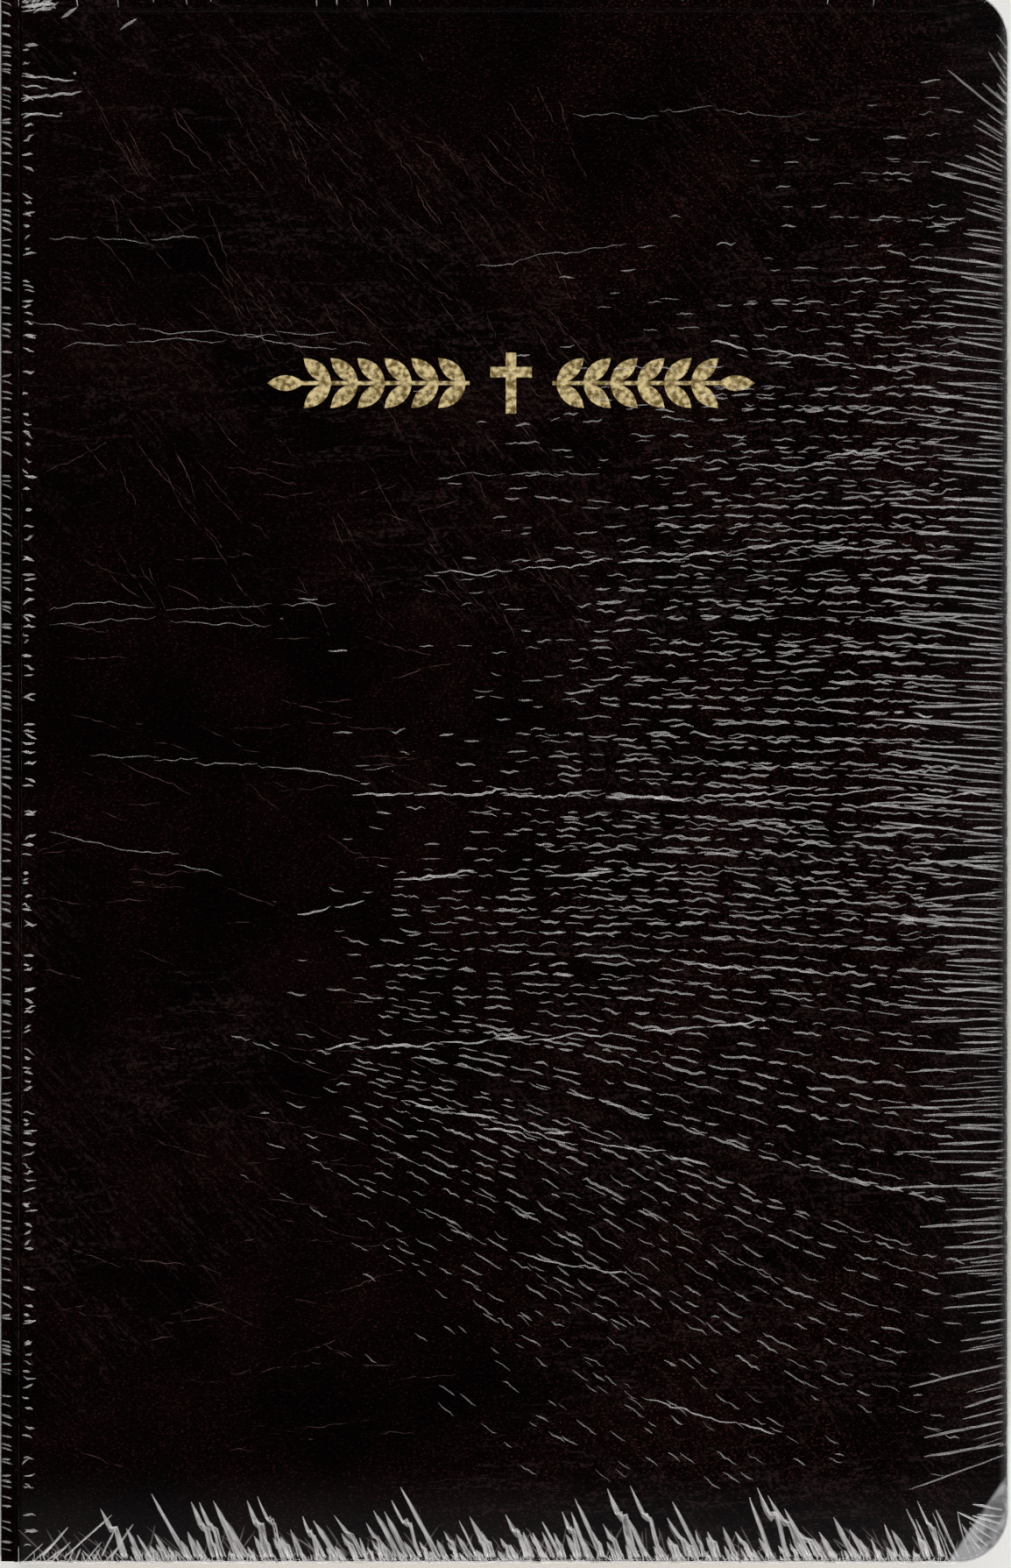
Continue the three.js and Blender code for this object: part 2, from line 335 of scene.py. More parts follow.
@dataclass(frozen=True)
class ShrinkFilm:
    """Clear shrink film, seen by its gloss and by a milky haze near three of its edges; at the tail this
    is painted sheen, and a band along the fore-edge rim is a painted highlight.
    """

    gloss: float = 0.06
    straight_on: float = 0.022
    glancing: float = 0.9
    ripples: float = 330.0
    haze: float = 0.00005
    fore_veil: float = 0.004
    corner_veil: float = 0.4
    # painted sheen: milk near the tail that stands for the sheen of the leather there
    tail_painted_sheen: float = 0.009
    # painted highlight: a band of milk along the fore-edge rim that stands for its highlight
    rim_painted_highlight: float = 0.05
    corner_slope: float = 0.68
    fore_reach: tuple[float, float] = (55 * MM, 73.5 * MM)
    corner_reach: tuple[float, float] = (141.4 * MM, 142.2 * MM)
    # where the painted sheen at the tail and the painted highlight at the fore-edge rim lie
    tail_sheen_reach: tuple[float, float] = (-99 * MM, -113.5 * MM)
    rim_highlight_reach: tuple[float, float] = (71.6 * MM, 73.0 * MM)
    tone: Point = (0.8, 0.8, 0.82)

    def milky_and_painted_veil(self, s: Shader) -> Socket:
        """How milky the film is at a place, with painted sheen near the tail and a painted highlight
        along the fore-edge rim.

        Args:
            s: the shader that gets the nodes.
        Returns:
            The share of milk in the clear film.
        """
        x, y, _ = s.axes()
        streak = s.ramp(s.noise(1.0, 2.0, s.place(-3.0, (90.0, 2300.0, 1.0))), 0.4, 0.66, 0.35, 1.0)
        slope = s.math("SUBTRACT", x, s.times(y, self.corner_slope))
        mottle = s.ramp(s.noise(420.0, 3.0), 0.36, 0.6, 0.35, 1.0)
        # the tail term is painted sheen, and the fore-edge rim term is a painted highlight
        return s.plus(s.times(s.ramp(x, *self.fore_reach), streak, self.fore_veil),
                      s.times(s.ramp(slope, *self.corner_reach), mottle, self.corner_veil),
                      s.times(s.ramp(y, *self.tail_sheen_reach), self.tail_painted_sheen),
                      s.times(s.ramp(x, *self.rim_highlight_reach), self.rim_painted_highlight), self.haze)

    def build(self) -> Material:
        """Make the material.

        Returns:
            The material.
        """
        s = Shader("shrink_film")
        normal = s.bump(s.noise(self.ripples, 3.0, s.place(4.0, (1.0, 2.6, 1.0))), 0.00004, 0.25)
        facing = s.node("LayerWeight", in_Blend=0.5, in_Normal=normal).outputs["Facing"]
        sheen = s.plus(s.times(s.math("POWER", facing, 5.0), self.glancing), self.straight_on)
        # milk: the film's haze, which also carries the painted sheen and the painted highlight
        milk = s.node("BsdfDiffuse", in_Color=(*self.tone, 1))
        sheet = s.lay(self.milky_and_painted_veil(s), s.node("BsdfTransparent"), milk)
        return s.close(s.lay(sheen, sheet, s.node("BsdfGlossy", in_Roughness=self.gloss,
                                                  in_Normal=normal)))


@dataclass(frozen=True)
class FilmCrease:
    """A raised fold of the film, whiter and brighter than the flat sheet."""

    haze: float = 0.42
    shine: float = 0.09
    gloss: float = 0.2
    tone: Point = (0.84, 0.82, 0.81)
    weakest: float = 0.7

    def build(self, name: str = "film_crease") -> Material:
        """Make the material.

        Args:
            name: the material's name.
        Returns:
            The material.
        """
        s = Shader(name)
        uneven = s.ramp(s.noise(700.0, 2.0), 0.35, 0.65, self.weakest, 1.0)
        milk = s.node("BsdfDiffuse", in_Color=(*self.tone, 1))
        shine = s.node("BsdfGlossy", in_Roughness=self.gloss, in_Color=(*self.tone, 1))
        haze = s.lay(s.times(uneven, self.haze), s.node("BsdfTransparent"), milk)
        return s.close(s.lay(s.times(uneven, self.shine), haze, shine))


@dataclass(frozen=True)
class GoldFoil:
    """Stamped gold foil that takes the leather's grain."""

    pale: Point = (0.82, 0.66, 0.34)
    deep: Point = (0.17, 0.11, 0.025)

    def build(self) -> Material:
        """Make the material.

        Returns:
            The material.
        """
        s = Shader("gold_foil", bends=False)
        grain = s.noise(1900.0, 3.0)
        normal = s.bump(grain, 0.0002, 0.6)
        base = s.tint(s.ramp(s.noise(1400.0, 2.0), 0.32, 0.68), self.deep, self.pale)
        return s.surface(in_Base_Color=base, in_Metallic=0.25, in_Roughness=0.38, in_Normal=normal)


@dataclass(frozen=True)
class Paper:
    """Thin bible paper."""

    name: str = "page_paper"
    bends: bool = True
    tone: Point = (0.83, 0.79, 0.69)
    dark: Point = (0.76, 0.71, 0.59)

    def build(self) -> Material:
        """Make the material.

        Returns:
            The material.
        """
        s = Shader(self.name, self.bends)
        fibre = s.noise(2600.0, 4.0)
        base = s.tint(s.ramp(s.noise(180.0, 3.0), 0.3, 0.7), self.dark, self.tone)
        return s.surface(in_Base_Color=base, in_Roughness=0.85, in_Normal=s.bump(fibre, 0.00003, 0.4),
                         in_Specular_IOR_Level=0.2)


@dataclass(frozen=True)
class PrintedPage:
    """Bible paper with two columns of grey bars that stand for lines of small type."""

    tone: Point = (0.83, 0.79, 0.69)
    ink: Point = (0.26, 0.25, 0.23)
    line_pitch: float = 3.1 * MM
    column_middle: float = -1.0 * MM
    column_width: float = 54.0 * MM
    column_gap: float = 5.0 * MM
    text_half_height: float = 96.0 * MM

    def build(self) -> Material:
        """Make the material.

        Returns:
            The material.
        """
        s = Shader("printed_page")
        x, y, _ = s.axes()
        across = s.math("ABSOLUTE", s.math("SUBTRACT", x, self.column_middle))
        column = s.times(s.math("GREATER_THAN", across, self.column_gap / 2),
                         s.math("LESS_THAN", across, self.column_gap / 2 + self.column_width),
                         s.math("LESS_THAN", s.math("ABSOLUTE", y), self.text_half_height))
        row = s.math("DIVIDE", y, self.line_pitch)
        bar = s.math("LESS_THAN", s.math("ABSOLUTE", s.math("SUBTRACT", s.math("FRACT", row), 0.5)), 0.2)
        words = s.node("CombineXYZ", in_0=s.times(x, 420.0), in_1=s.times(s.math("FLOOR", row), 7.31))
        word = s.node("TexNoise", in_Vector=words.outputs[0], in_Scale=1.0, in_Detail=0.0).outputs[0]
        ink = s.times(bar, column, s.ramp(word, 0.36, 0.42), 0.75)
        base = s.tint(ink, self.tone, self.ink)
        return s.surface(in_Base_Color=base, in_Roughness=0.82, in_Specular_IOR_Level=0.2,
                         in_Normal=s.bump(s.noise(2600.0, 3.0), 0.00003, 0.4))


@dataclass(frozen=True)
class GiltEdge:
    """The cut, gilded edges of many thin leaves."""

    gold: Point = (0.72, 0.52, 0.2)
    dull: Point = (0.36, 0.22, 0.07)

    def build(self) -> Material:
        """Make the material.

        Returns:
            The material.
        """
        s = Shader("gilt_edge")
        leaves = s.noise(1.0, 3.0, s.place(0.0, (60.0, 60.0, 11000.0)))
        wear = s.ramp(s.noise(140.0, 4.0), 0.45, 0.8, 0.0, 0.45)
        shade = s.ramp(leaves, 0.35, 0.65, 0.0, 0.55)
        base = s.tint(s.math("ADD", wear, shade, True), self.gold, self.dull)
        return s.surface(in_Base_Color=base, in_Metallic=0.75, in_Roughness=0.38,
                         in_Normal=s.bump(leaves, 0.00009, 0.8))


@dataclass(frozen=True)
class Endpaper:
    """Dark burgundy endpaper with a laid texture."""

    name: str = "endpaper"
    bends: bool = False

    def build(self) -> Material:
        """Make the material.

        Returns:
            The material.
        """
        s = Shader(self.name, self.bends)
        laid = s.noise(1.0, 2.0, s.place(0.0, (260.0, 3400.0, 260.0)))
        base = s.tint(s.ramp(laid, 0.3, 0.7), (0.028, 0.006, 0.007), (0.05, 0.01, 0.012))
        return s.surface(in_Base_Color=base, in_Roughness=0.8, in_Normal=s.bump(laid, 0.00004, 0.5),
                         in_Specular_IOR_Level=0.12)


@dataclass(frozen=True)
class Board:
    """Grey binder's board with flecks of fibre."""

    def build(self) -> Material:
        """Make the material.

        Returns:
            The material.
        """
        s = Shader("binders_board", bends=False)
        fleck = s.noise(1500.0, 5.0)
        base = s.tint(s.ramp(fleck, 0.35, 0.7), (0.2, 0.18, 0.15), (0.32, 0.29, 0.25))
        return s.surface(in_Base_Color=base, in_Roughness=0.9, in_Normal=s.bump(fleck, 0.00006, 0.6))


@dataclass(frozen=True)
class Woven:
    """A plain weave: binding cloth, or the silk of a headband."""

    name: str
    tone: Point
    shade: Point
    threads: float

    def build(self) -> Material:
        """Make the material.

        Returns:
            The material.
        """
        s = Shader(self.name, bends=False)
        warp, weft = (s.node("TexWave", in_Vector=s.place(), in_Scale=self.threads, bands_direction=way,
                             in_Distortion=0.6).outputs["Fac"] for way in "ZY")
        weave = s.math("MAXIMUM", warp, weft)
        base = s.tint(s.ramp(weave, 0.2, 0.9), self.shade, self.tone)
        return s.surface(in_Base_Color=base, in_Roughness=0.8, in_Normal=s.bump(weave, 0.0001, 0.7))


@dataclass(frozen=True)
class PlainFloor:
    """The pale ground that the book lies on."""

    def build(self) -> Material:
        """Make the material.

        Returns:
            The material.
        """
        s = Shader("pale_floor", bends=False)
        base = s.tint(s.noise(6.0, 2.0), (0.88, 0.88, 0.88), (0.92, 0.92, 0.92))
        return s.surface(in_Base_Color=base, in_Roughness=0.7)


class Palette:
    """Every finish, built once."""

    def __init__(self) -> None:
        """Build the materials."""
        self.leather = BondedLeather().build()
        self.film = ShrinkFilm().build()
        self.crease = FilmCrease().build()
        self.fore_crease = FilmCrease(haze=0.2, shine=0.045).build("fore_film_crease")
        self.long_crease = FilmCrease(haze=0.28, shine=0.06).build("long_film_crease")
        self.faint_crease = FilmCrease(haze=0.18, shine=0.04).build("faint_film_crease")
        self.low_crease = FilmCrease(0.1, 0.02, 0.3, (0.8, 0.68, 0.66)).build("low_film_crease")
        self.hairline = FilmCrease(0.13, 0.01, 0.3, (0.85, 0.5, 0.48), 0.05).build("hairline_crease")
        self.web = FilmCrease(haze=0.28, shine=0.03, gloss=0.3).build("film_web")
        self.foil = GoldFoil().build()
        self.paper = Paper().build()
        self.liner = Paper("spine_lining", False, (0.5, 0.4, 0.26), (0.42, 0.33, 0.2)).build()
        self.print = PrintedPage().build()
        self.gilt = GiltEdge().build()
        self.endpaper = Endpaper().build()
        self.flyleaf = Endpaper("flyleaf_paper", True).build()
        self.board = Board().build()
        self.mull = Woven("mull_cloth", (0.75, 0.72, 0.64), (0.4, 0.36, 0.28), 150.0).build()
        self.silk = Woven("band_silk", (0.3, 0.035, 0.04), (0.7, 0.6, 0.4), 170.0).build()
        self.floor = PlainFloor().build()


# ---- mesh helpers --------------------------------------------------------------------------------
def remember_rest(obj: Piece) -> None:
    """Store each point's place at rest, which the materials read, so a bend doesn't move them.

    Args:
        obj: the piece.
    """
    mesh = obj.data
    kept = mesh.attributes.get("rest") or mesh.attributes.new("rest", "FLOAT_VECTOR", "POINT")
    places = [0.0] * (3 * len(mesh.vertices))
    mesh.vertices.foreach_get("co", places)
    kept.data.foreach_set("vector", places)


def arc(centre: tuple[float, float], radii: tuple[float, float], angles: tuple[float, float],
        steps: int) -> list[tuple[float, float]]:
    """Points of an arc.

    Args:
        centre: its centre.
        radii: its radii along both axes.
        angles: where it starts and ends.
        steps: how many straight pieces it has.
    Returns:
        The points, the first and the last one included.
    """
    turns = [angles[0] + (angles[1] - angles[0]) * step / steps for step in range(steps + 1)]
    return [(centre[0] + radii[0] * math.cos(t), centre[1] + radii[1] * math.sin(t)) for t in turns]


def add_object(name: str, data: bpy.types.ID) -> Piece:
    """Put a new object in the scene, at the origin.

    Args:
        name: the object's name.
        data: its mesh, curve, light or camera.
    Returns:
        The new object.
    """
    obj = bpy.data.objects.new(name, data)
    bpy.context.collection.objects.link(obj)
    return obj


def wrap_mesh(name: str, bm: Shape, materials: list[Material]) -> Piece:
    """Turn a bmesh as it is into a smooth object with its materials and rest places.

    Args:
        name: the piece's name.
        bm: the finished shape, which is freed.
        materials: its materials in the order of the faces' indices.
    Returns:
        The new object.
    """
    mesh = bpy.data.meshes.new(name)
    bm.to_mesh(mesh)
    bm.free()
    for material in materials:
        mesh.materials.append(material)
    mesh.polygons.foreach_set("use_smooth", [True] * len(mesh.polygons))
    obj = add_object(name, mesh)
    remember_rest(obj)
    return obj


def finish_piece(name: str, bm: Shape, materials: list[Material],
                 smooth_angle: float = 35.0) -> Piece:
    """Merge a bmesh's doubles, turn its faces outwards and make it a piece.

    Args:
        name: the piece's name.
        bm: the finished shape, which is freed.
        materials: its materials in the order of the faces' indices.
        smooth_angle: edges sharper than this many degrees stay sharp.
    Returns:
        The new object.
    """
    bmesh.ops.remove_doubles(bm, verts=bm.verts, dist=1e-7)
    bmesh.ops.recalc_face_normals(bm, faces=bm.faces)
    obj = wrap_mesh(name, bm, materials)
    obj.data.set_sharp_from_angle(angle=math.radians(smooth_angle))
    return obj


def all_of(bm: Shape) -> list[bmesh.types.BMVert | bmesh.types.BMEdge | bmesh.types.BMFace]:
    """Every point, edge and face."""
    return bm.verts[:] + bm.edges[:] + bm.faces[:]


def only_verts(geometry: list) -> list[bmesh.types.BMVert]:
    """The points in what an operator gave back."""
    return [g for g in geometry if isinstance(g, bmesh.types.BMVert)]


def inset(bm: Shape, top: bool, width: float, depth: float = 0.0) -> None:
    """Inset the level face on one side by a width, and sink it by a depth below zero."""
    bmesh.ops.inset_region(bm, faces=[level_face(bm, top)], thickness=width, depth=depth,
                           use_even_offset=True, use_boundary=True)


def rounded_face(bm: Shape, low: Point, high: Point, radius: float) -> bmesh.types.BMFace:
    """A level face with its two fore-edge corners rounded.

    Args:
        bm: the bmesh that gets it.
        low: its lowest corner; the face lies at this height.
        high: its highest corner.
        radius: of the two corners at +X.
    Returns:
        The face.
    """
    corners = ((low[0], low[1]), (high[0], low[1]), (high[0], high[1]), (low[0], high[1]))
    verts = [bm.verts.new((x, y, low[2])) for x, y in corners]
    face = bm.faces.new(verts)
    if radius > 0:
        bmesh.ops.bevel(bm, geom=[v for v in verts if v.co.x > (low[0] + high[0]) / 2],
                        affect="VERTICES", offset=radius, offset_type="OFFSET", segments=CORNER_STEPS,
                        profile=0.5, material=-1)
    return max(bm.faces, key=lambda f: f.calc_area())


def slab(low: Point, high: Point, radius: float) -> Shape:
    """A plate between two corners whose fore-edge corners are rounded.

    Args:
        low: its lowest corner.
        high: its highest corner.
        radius: of the two corners at +X.
    Returns:
        The shape.
    """
    bm = bmesh.new()
    face = rounded_face(bm, low, high, radius)
    lifted = bmesh.ops.extrude_face_region(bm, geom=[face])["geom"]
    bmesh.ops.translate(bm, verts=only_verts(lifted), vec=(0, 0, high[2] - low[2]))
    bmesh.ops.recalc_face_normals(bm, faces=bm.faces)
    return bm


def level_face(bm: Shape, top: bool) -> bmesh.types.BMFace:
    """The largest face that looks up or down."""
    sign = 1 if top else -1
    return max((f for f in bm.faces if f.normal.z * sign > 0.9), key=lambda f: f.calc_area())


def round_rim(bm: Shape, top: bool, radius: float, segments: int) -> None:
    """Round the edge all round the top or the bottom face.

    Args:
        bm: the shape.
        top: whether it is the top face.
        radius: of the rounding.
        segments: steps in the rounding.
    """
    edges = list(level_face(bm, top).edges)
    bmesh.ops.bevel(bm, geom=edges, affect="EDGES", offset=radius, offset_type="OFFSET",
                    segments=segments, profile=0.5, material=-1, clamp_overlap=True)


def hold(bm: Shape, top: bool) -> None:
    """Ring a level face with a level strip, so that its rounded rim doesn't shade its middle."""
    inset(bm, top, LEVEL_STRIP)


# ---- the book's outline --------------------------------------------------------------------------
class Edge(Enum):
    """The three open edges of a cover."""

    TAIL = "tail"
    FORE = "fore"
    HEAD = "head"


@dataclass
class Outline:
    """A cover's outline, walked from the spine along the tail, up the fore-edge and back at the head."""

    x0: float
    x1: float
    half_height: float
    radius: float

    def __post_init__(self) -> None:
        """Work out the lengths of the straight and round stretches."""
        self.side = self.x1 - self.radius - self.x0
        self.arc = math.pi / 2 * self.radius
        self.fore = 2 * (self.half_height - self.radius)
        self.length = 2 * self.side + 2 * self.arc + self.fore

    def at(self, way: float) -> tuple[Vector, Vector]:
        """The point this far along the outline, and the direction inwards there.

        Args:
            way: how far along it is.
        Returns:
            The point at zero height, and the direction.
        """
        r, h = self.radius, self.half_height
        if way < self.side:
            return Vector((self.x0 + way, -h, 0)), Vector((0, 1, 0))
        way -= self.side
        if way < self.arc:
            return self.corner(Vector((self.x1 - r, -h + r, 0)), -math.pi / 2 + way / r)
        way -= self.arc
        if way < self.fore:
            return Vector((self.x1, -h + r + way, 0)), Vector((-1, 0, 0))
        way -= self.fore
        if way < self.arc:
            return self.corner(Vector((self.x1 - r, h - r, 0)), way / r)
        way -= self.arc
        return Vector((self.x1 - r - way, h, 0)), Vector((0, -1, 0))

    def corner(self, centre: Vector, angle: float) -> tuple[Vector, Vector]:
        """A point of a rounded corner, and the direction inwards there."""
        out = Vector((math.cos(angle), math.sin(angle), 0))
        return centre + out * self.radius, -out

    def way_to(self, edge: Edge, along: float) -> float:
        """How far along the outline a place on one edge is.

        Args:
            edge: the edge.
            along: X on the tail and head, Y on the fore-edge, in millimetres.
        Returns:
            The distance along the outline.
        """
        if edge is Edge.TAIL:
            return along * MM - self.x0
        if edge is Edge.FORE:
            return self.side + self.arc + along * MM + self.half_height - self.radius
        return self.length - (along * MM - self.x0)

    def stretch(self, edge: Edge, start: float, end: float) -> tuple[float, float]:
        """How far along the outline two places on one edge are."""
        return self.way_to(edge, start), self.way_to(edge, end)


# ---- creases -------------------------------------------------------------------------------------
@dataclass
class CreaseBundle:
    """Many raised folds of film, gathered as tapering ridges on one curve and made one mesh."""

    name: str
    width: float = FOLD_WIDTH
    rise: float = 0.42

    def __post_init__(self) -> None:
        """Start the curve and the low tent-shaped section it carries."""
        self.curve = bpy.data.curves.new(self.name, "CURVE")
        self.curve.dimensions = "3D"
        self.curve.twist_mode = "MINIMUM"
        section = bpy.data.curves.new(self.name + "_section", "CURVE")
        section.dimensions = "2D"
        tent = section.splines.new("POLY")
        shape = ((-1.0, 0.0), (-0.5, 0.57), (0.0, 1.0), (0.5, 0.57), (1.0, 0.0))
        tent.points.add(len(shape) - 1)
        for point, (across, up) in zip(tent.points, shape):
            point.co = (across * self.width, up * self.width * self.rise, 0, 1)
        self.section = add_object(self.name + "_section", section)

    def add(self, path: list[Vector], swell: list[float]) -> None:
        """Add one fold.

        Args:
            path: the points it follows, starting where the film lies level.
            swell: its width at each point, as a share of the full width.
        """
        spline = self.curve.splines.new("POLY")
        spline.points.add(len(path) - 1)
        for point, place, size in zip(spline.points, path, swell):
            point.co = (*place, 1)
            point.radius = size

    def build(self, material: Material) -> Piece:
        """Make the mesh object, with its section and curve taken away.

        Args:
            material: the folds' finish.
        Returns:
            The piece, riding on nothing yet.
        """
        self.curve.bevel_mode = "OBJECT"
        self.curve.bevel_object = self.section
        holder = add_object(self.name + "_curve", self.curve)
        seen = holder.evaluated_get(bpy.context.evaluated_depsgraph_get())
        mesh = bpy.data.meshes.new_from_object(seen)
        bpy.data.objects.remove(holder)
        bpy.data.objects.remove(self.section)
        bm = bmesh.new()
        bm.from_mesh(mesh)
        if sum(f.normal.z * f.calc_area() for f in bm.faces) < 0:
            bmesh.ops.reverse_faces(bm, faces=bm.faces)
        return wrap_mesh(self.name, bm, [material])


@dataclass
class EdgeFolds:
    """Folds that start on a cover and run out over its edge and down its side."""

    outline: Outline
    top: float
    down: float
    luck: random.Random
    rim: float = 0.8 * MM

    def place(self, way: float, depth: float) -> Vector:
        """A point on the film: depth inwards of the edge, or below it where depth is negative.

        Args:
            way: how far along the outline it is.
            depth: how far inwards it is.
        Returns:
            The point.
        """
        point, inwards = self.outline.at(way)
        if depth >= self.rim:
            return point + inwards * depth + Vector((0, 0, self.top))
        if depth > 0:
            angle = (1 - depth / self.rim) * math.pi / 2
            return (point + inwards * self.rim * (1 - math.sin(angle))
                    + Vector((0, 0, self.top - self.rim * (1 - math.cos(angle)))))
        return point + Vector((0, 0, self.top - (self.rim - depth)))

    def fold(self, bundle: CreaseBundle, way: float, length: float, slant: float, size: float,
             hook: float = 0.0) -> None:
        """Add one fold across the edge, widest near its inner end.

        Args:
            bundle: the bundle that gets it.
            way: where it crosses the edge, along the outline.
            length: how far in it starts.
            slant: how far along the outline it shifts for each unit of depth.
            size: its widest swell.
            hook: how far back up it doubles on its way out, as a share of its length.
        """
        steps = max(4, int(length / FOLD_STEP))
        path, swell, drift = [], [], 0.0
        for step in range(steps + 1):
            done = step / steps
            drift += self.luck.gauss(0, 0.04 * MM)
            depth = length * (1 - done + hook * math.exp(-((done - 0.55) / 0.12) ** 2))
            path.append(self.place(way + slant * length * (1 - done) + drift, depth))
            rise = max(0.0, math.sin(math.pi * min(0.62, done * 1.6 + 0.04)))
            swell.append(size * (0.12 + 0.88 * rise ** 0.7) * (1 - 0.5 * max(0.0, done - 0.35)))
        for extra in (0.35, 0.8):
            path.append(self.place(way + drift, -self.down * extra))
            swell.append(size * 0.35)
        bundle.add(path, swell)

    def pick(self, lengths: tuple[float, float], power: float) -> float:
        """A length between two given in millimetres, most often a short one."""
        short, long = (length * MM for length in lengths)
        return short + (long - short) * self.luck.random() ** power

    def comb(self, bundle: CreaseBundle, ways: tuple[float, float], pitch: float,
             lengths: tuple[float, float], slants: tuple[float, float], size: float = 1.0,
             fray: float = 0.05) -> None:
        """Fill a stretch of the edge with folds.

        Args:
            bundle: the bundle that gets them.
            ways: where the stretch starts and ends along the outline.
            pitch: average distance between folds, in millimetres.
            lengths: shortest and longest, in millimetres.
            slants: slant at the start and at the end.
            size: their average swell.
            fray: how much neighbours differ in slant.
        """
        way, end = ways
        while way < end:
            share = (way - ways[0]) / max(end - ways[0], 1e-9)
            slant = slants[0] + (slants[1] - slants[0]) * share + self.luck.gauss(0, fray)
            length = self.pick(lengths, 1.4)
            self.fold(bundle, way, length, slant, size * self.luck.uniform(0.5, 1.2))
            way += pitch * MM * self.luck.uniform(0.6, 1.4)

    def strokes(self, bundle: CreaseBundle, web: CreaseBundle, ways: tuple[float, float],
                pitch: float, lengths: tuple[float, float], slant: float) -> None:
        """Fill a stretch with gathered tucks, each two folds that part as they run out to the edge.

        Args:
            bundle: the bundle that gets the folds.
            web: the bundle that gets the film between them.
            ways: where the stretch starts and ends along the outline.
            pitch: average distance between tucks, in millimetres.
            lengths: shortest and longest, in millimetres.
            slant: their average slant.
        """
        way, end = ways
        while way < end:
            length = self.pick(lengths, 1.3)
            lean = slant + self.luck.gauss(0, 0.09)
            spread = self.luck.uniform(0.35, 1.0) * MM
            size = self.luck.uniform(0.8, 1.35)
            hook = self.luck.choice((0.0, 0.0, 0.16, 0.24))
            part = spread / length
            self.fold(bundle, way, length, lean, size, hook)
            self.fold(bundle, way + spread, length * 0.96, lean - part, size * 0.8, hook)
            self.fold(web, way + spread * 0.5, length * 0.9, lean - part * 0.5, spread / FOLD_STEP, hook)
            way += pitch * MM * self.luck.uniform(0.5, 1.5)

    def rim_line(self, bundle: CreaseBundle, ways: tuple[float, float], depth: float,
                 size: float) -> None:
        """Add a broken fold that runs along the edge.

        Args:
            bundle: the bundle that gets it.
            ways: where it starts and ends along the outline.
            depth: how far in it lies, in millimetres.
            size: its widest swell.
        """
        way, end = ways
        while way < end:
            run = self.luck.uniform(4, 15) * MM
            steps = max(3, int(run / (0.8 * MM)))
            path = [self.place(min(way + run * k / steps, end),
                               depth * MM + self.luck.gauss(0, 0.07 * MM)) for k in range(steps + 1)]
            bundle.add(path, [size * self.luck.uniform(0.4, 1.1) for _ in path])
            way += run + self.luck.uniform(0.1, 2.0) * MM


def crinkle(bundle: CreaseBundle, luck: random.Random, start: Vector, length: float, heading: float,
            size: float, wander: float) -> None:
    """Add one low wavy fold on the level film.

    Args:
        bundle: the bundle that gets it.
        luck: the seeded source of chance.
        start: its first point.
        length: along its run.
        heading: its direction in degrees from +X.
        size: its widest swell.
        wander: how much the direction changes at each step, in radians.
    """
    steps = max(3, int(length / (0.75 * MM)))
    angle = math.radians(heading)
    point = start.copy()
    path, swell = [point.copy()], [size * 0.15]
    for step in range(1, steps + 1):
        turn = angle + luck.gauss(0, wander)
        point = point + Vector((math.cos(turn), math.sin(turn), 0)) * (length / steps)
        path.append(point.copy())
        swell.append(size * (0.15 + 0.85 * max(0.0, math.sin(math.pi * step / steps)) ** 0.6)
                     * luck.uniform(0.6, 1.15))
    bundle.add(path, swell)


# ---- sub-assemblies ------------------------------------------------------------------------------
@dataclass
class Cover:
    """One cover: leather over a board, with its film and the film's folds."""

    front: bool
    palette: Palette
    edge_round: float = 0.75 * MM
    inner_round: float = 0.25 * MM
    film_round: float = 0.8 * MM
    film_rim: float = 1.7 * MM
    turn_in: float = 11.0 * MM
    window_depth: float = 0.25 * MM
    foil_shows: float = 0.05 * MM

    @property
    def side(self) -> str:
        """The name that this cover's nodes start with."""
        return "front" if self.front else "back"

    @property
    def body(self) -> str:
        """The body that this cover belongs to."""
        return self.side + "_cover"

    def leather(self) -> Piece:
        """The leather, its edges rounded, with the press of the page block and the turned-in rim.

        Returns:
            The piece, riding on the cover.
        """
        low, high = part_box(f"{self.side}_leather")
        outer = high.z - self.foil_shows if self.front else low.z
        low.z, high.z = (low.z, outer) if self.front else (outer, high.z)
        bm = slab(low, high, LEATHER_CORNER)
        round_rim(bm, self.front, self.edge_round, 5)
        round_rim(bm, not self.front, self.inner_round, 2)
        hold(bm, self.front)
        hold(bm, not self.front)
        inset(bm, not self.front, self.turn_in - self.inner_round - LEVEL_STRIP)
        inset(bm, not self.front, 0.02 * MM, -self.window_depth)
        piece = finish_piece(f"{self.side}_cover_leather", bm, [self.palette.leather])
        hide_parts(f"{self.side}_leather")
        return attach(piece, self.body)

    def film(self) -> Piece:
        """The clear sheet over the cover, round its edges and a little way in on its inside.

        Returns:
            The piece, riding on the cover.
        """
        low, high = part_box(f"{self.side}_film")
        bm = slab(low, high, FILM_CORNER)
        round_rim(bm, self.front, self.film_round, 5)
        hold(bm, self.front)
        inset(bm, not self.front, self.film_rim)
        bmesh.ops.delete(bm, geom=[level_face(bm, not self.front)], context="FACES")
        spine_side = [f for f in bm.faces if f.normal.x < -0.9]
        bmesh.ops.delete(bm, geom=spine_side, context="FACES")
        piece = finish_piece(f"{self.side}_cover_film", bm, [self.palette.film], 60)
        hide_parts(f"{self.side}_film")
        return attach(piece, self.body)

    def dress(self) -> None:
        """Give the board, pastedown and foil their finishes."""
        dress_node(f"{self.side}_board", self.palette.board)
        dress_node(f"{self.side}_pastedown", self.palette.endpaper)
        if self.front:
            for name in ("foil_cross", "foil_branch_left", "foil_branch_right"):
                dress_node(name, self.palette.foil)


def dress_node(name: str, material: Material) -> None:
    """Give a carried-over node its finish on every one of its slots.

    Args:
        name: the node's name.
        material: its finish.
    """
    node = FRAME_NODES[name]
    for slot in node.material_slots:
        slot.material = material


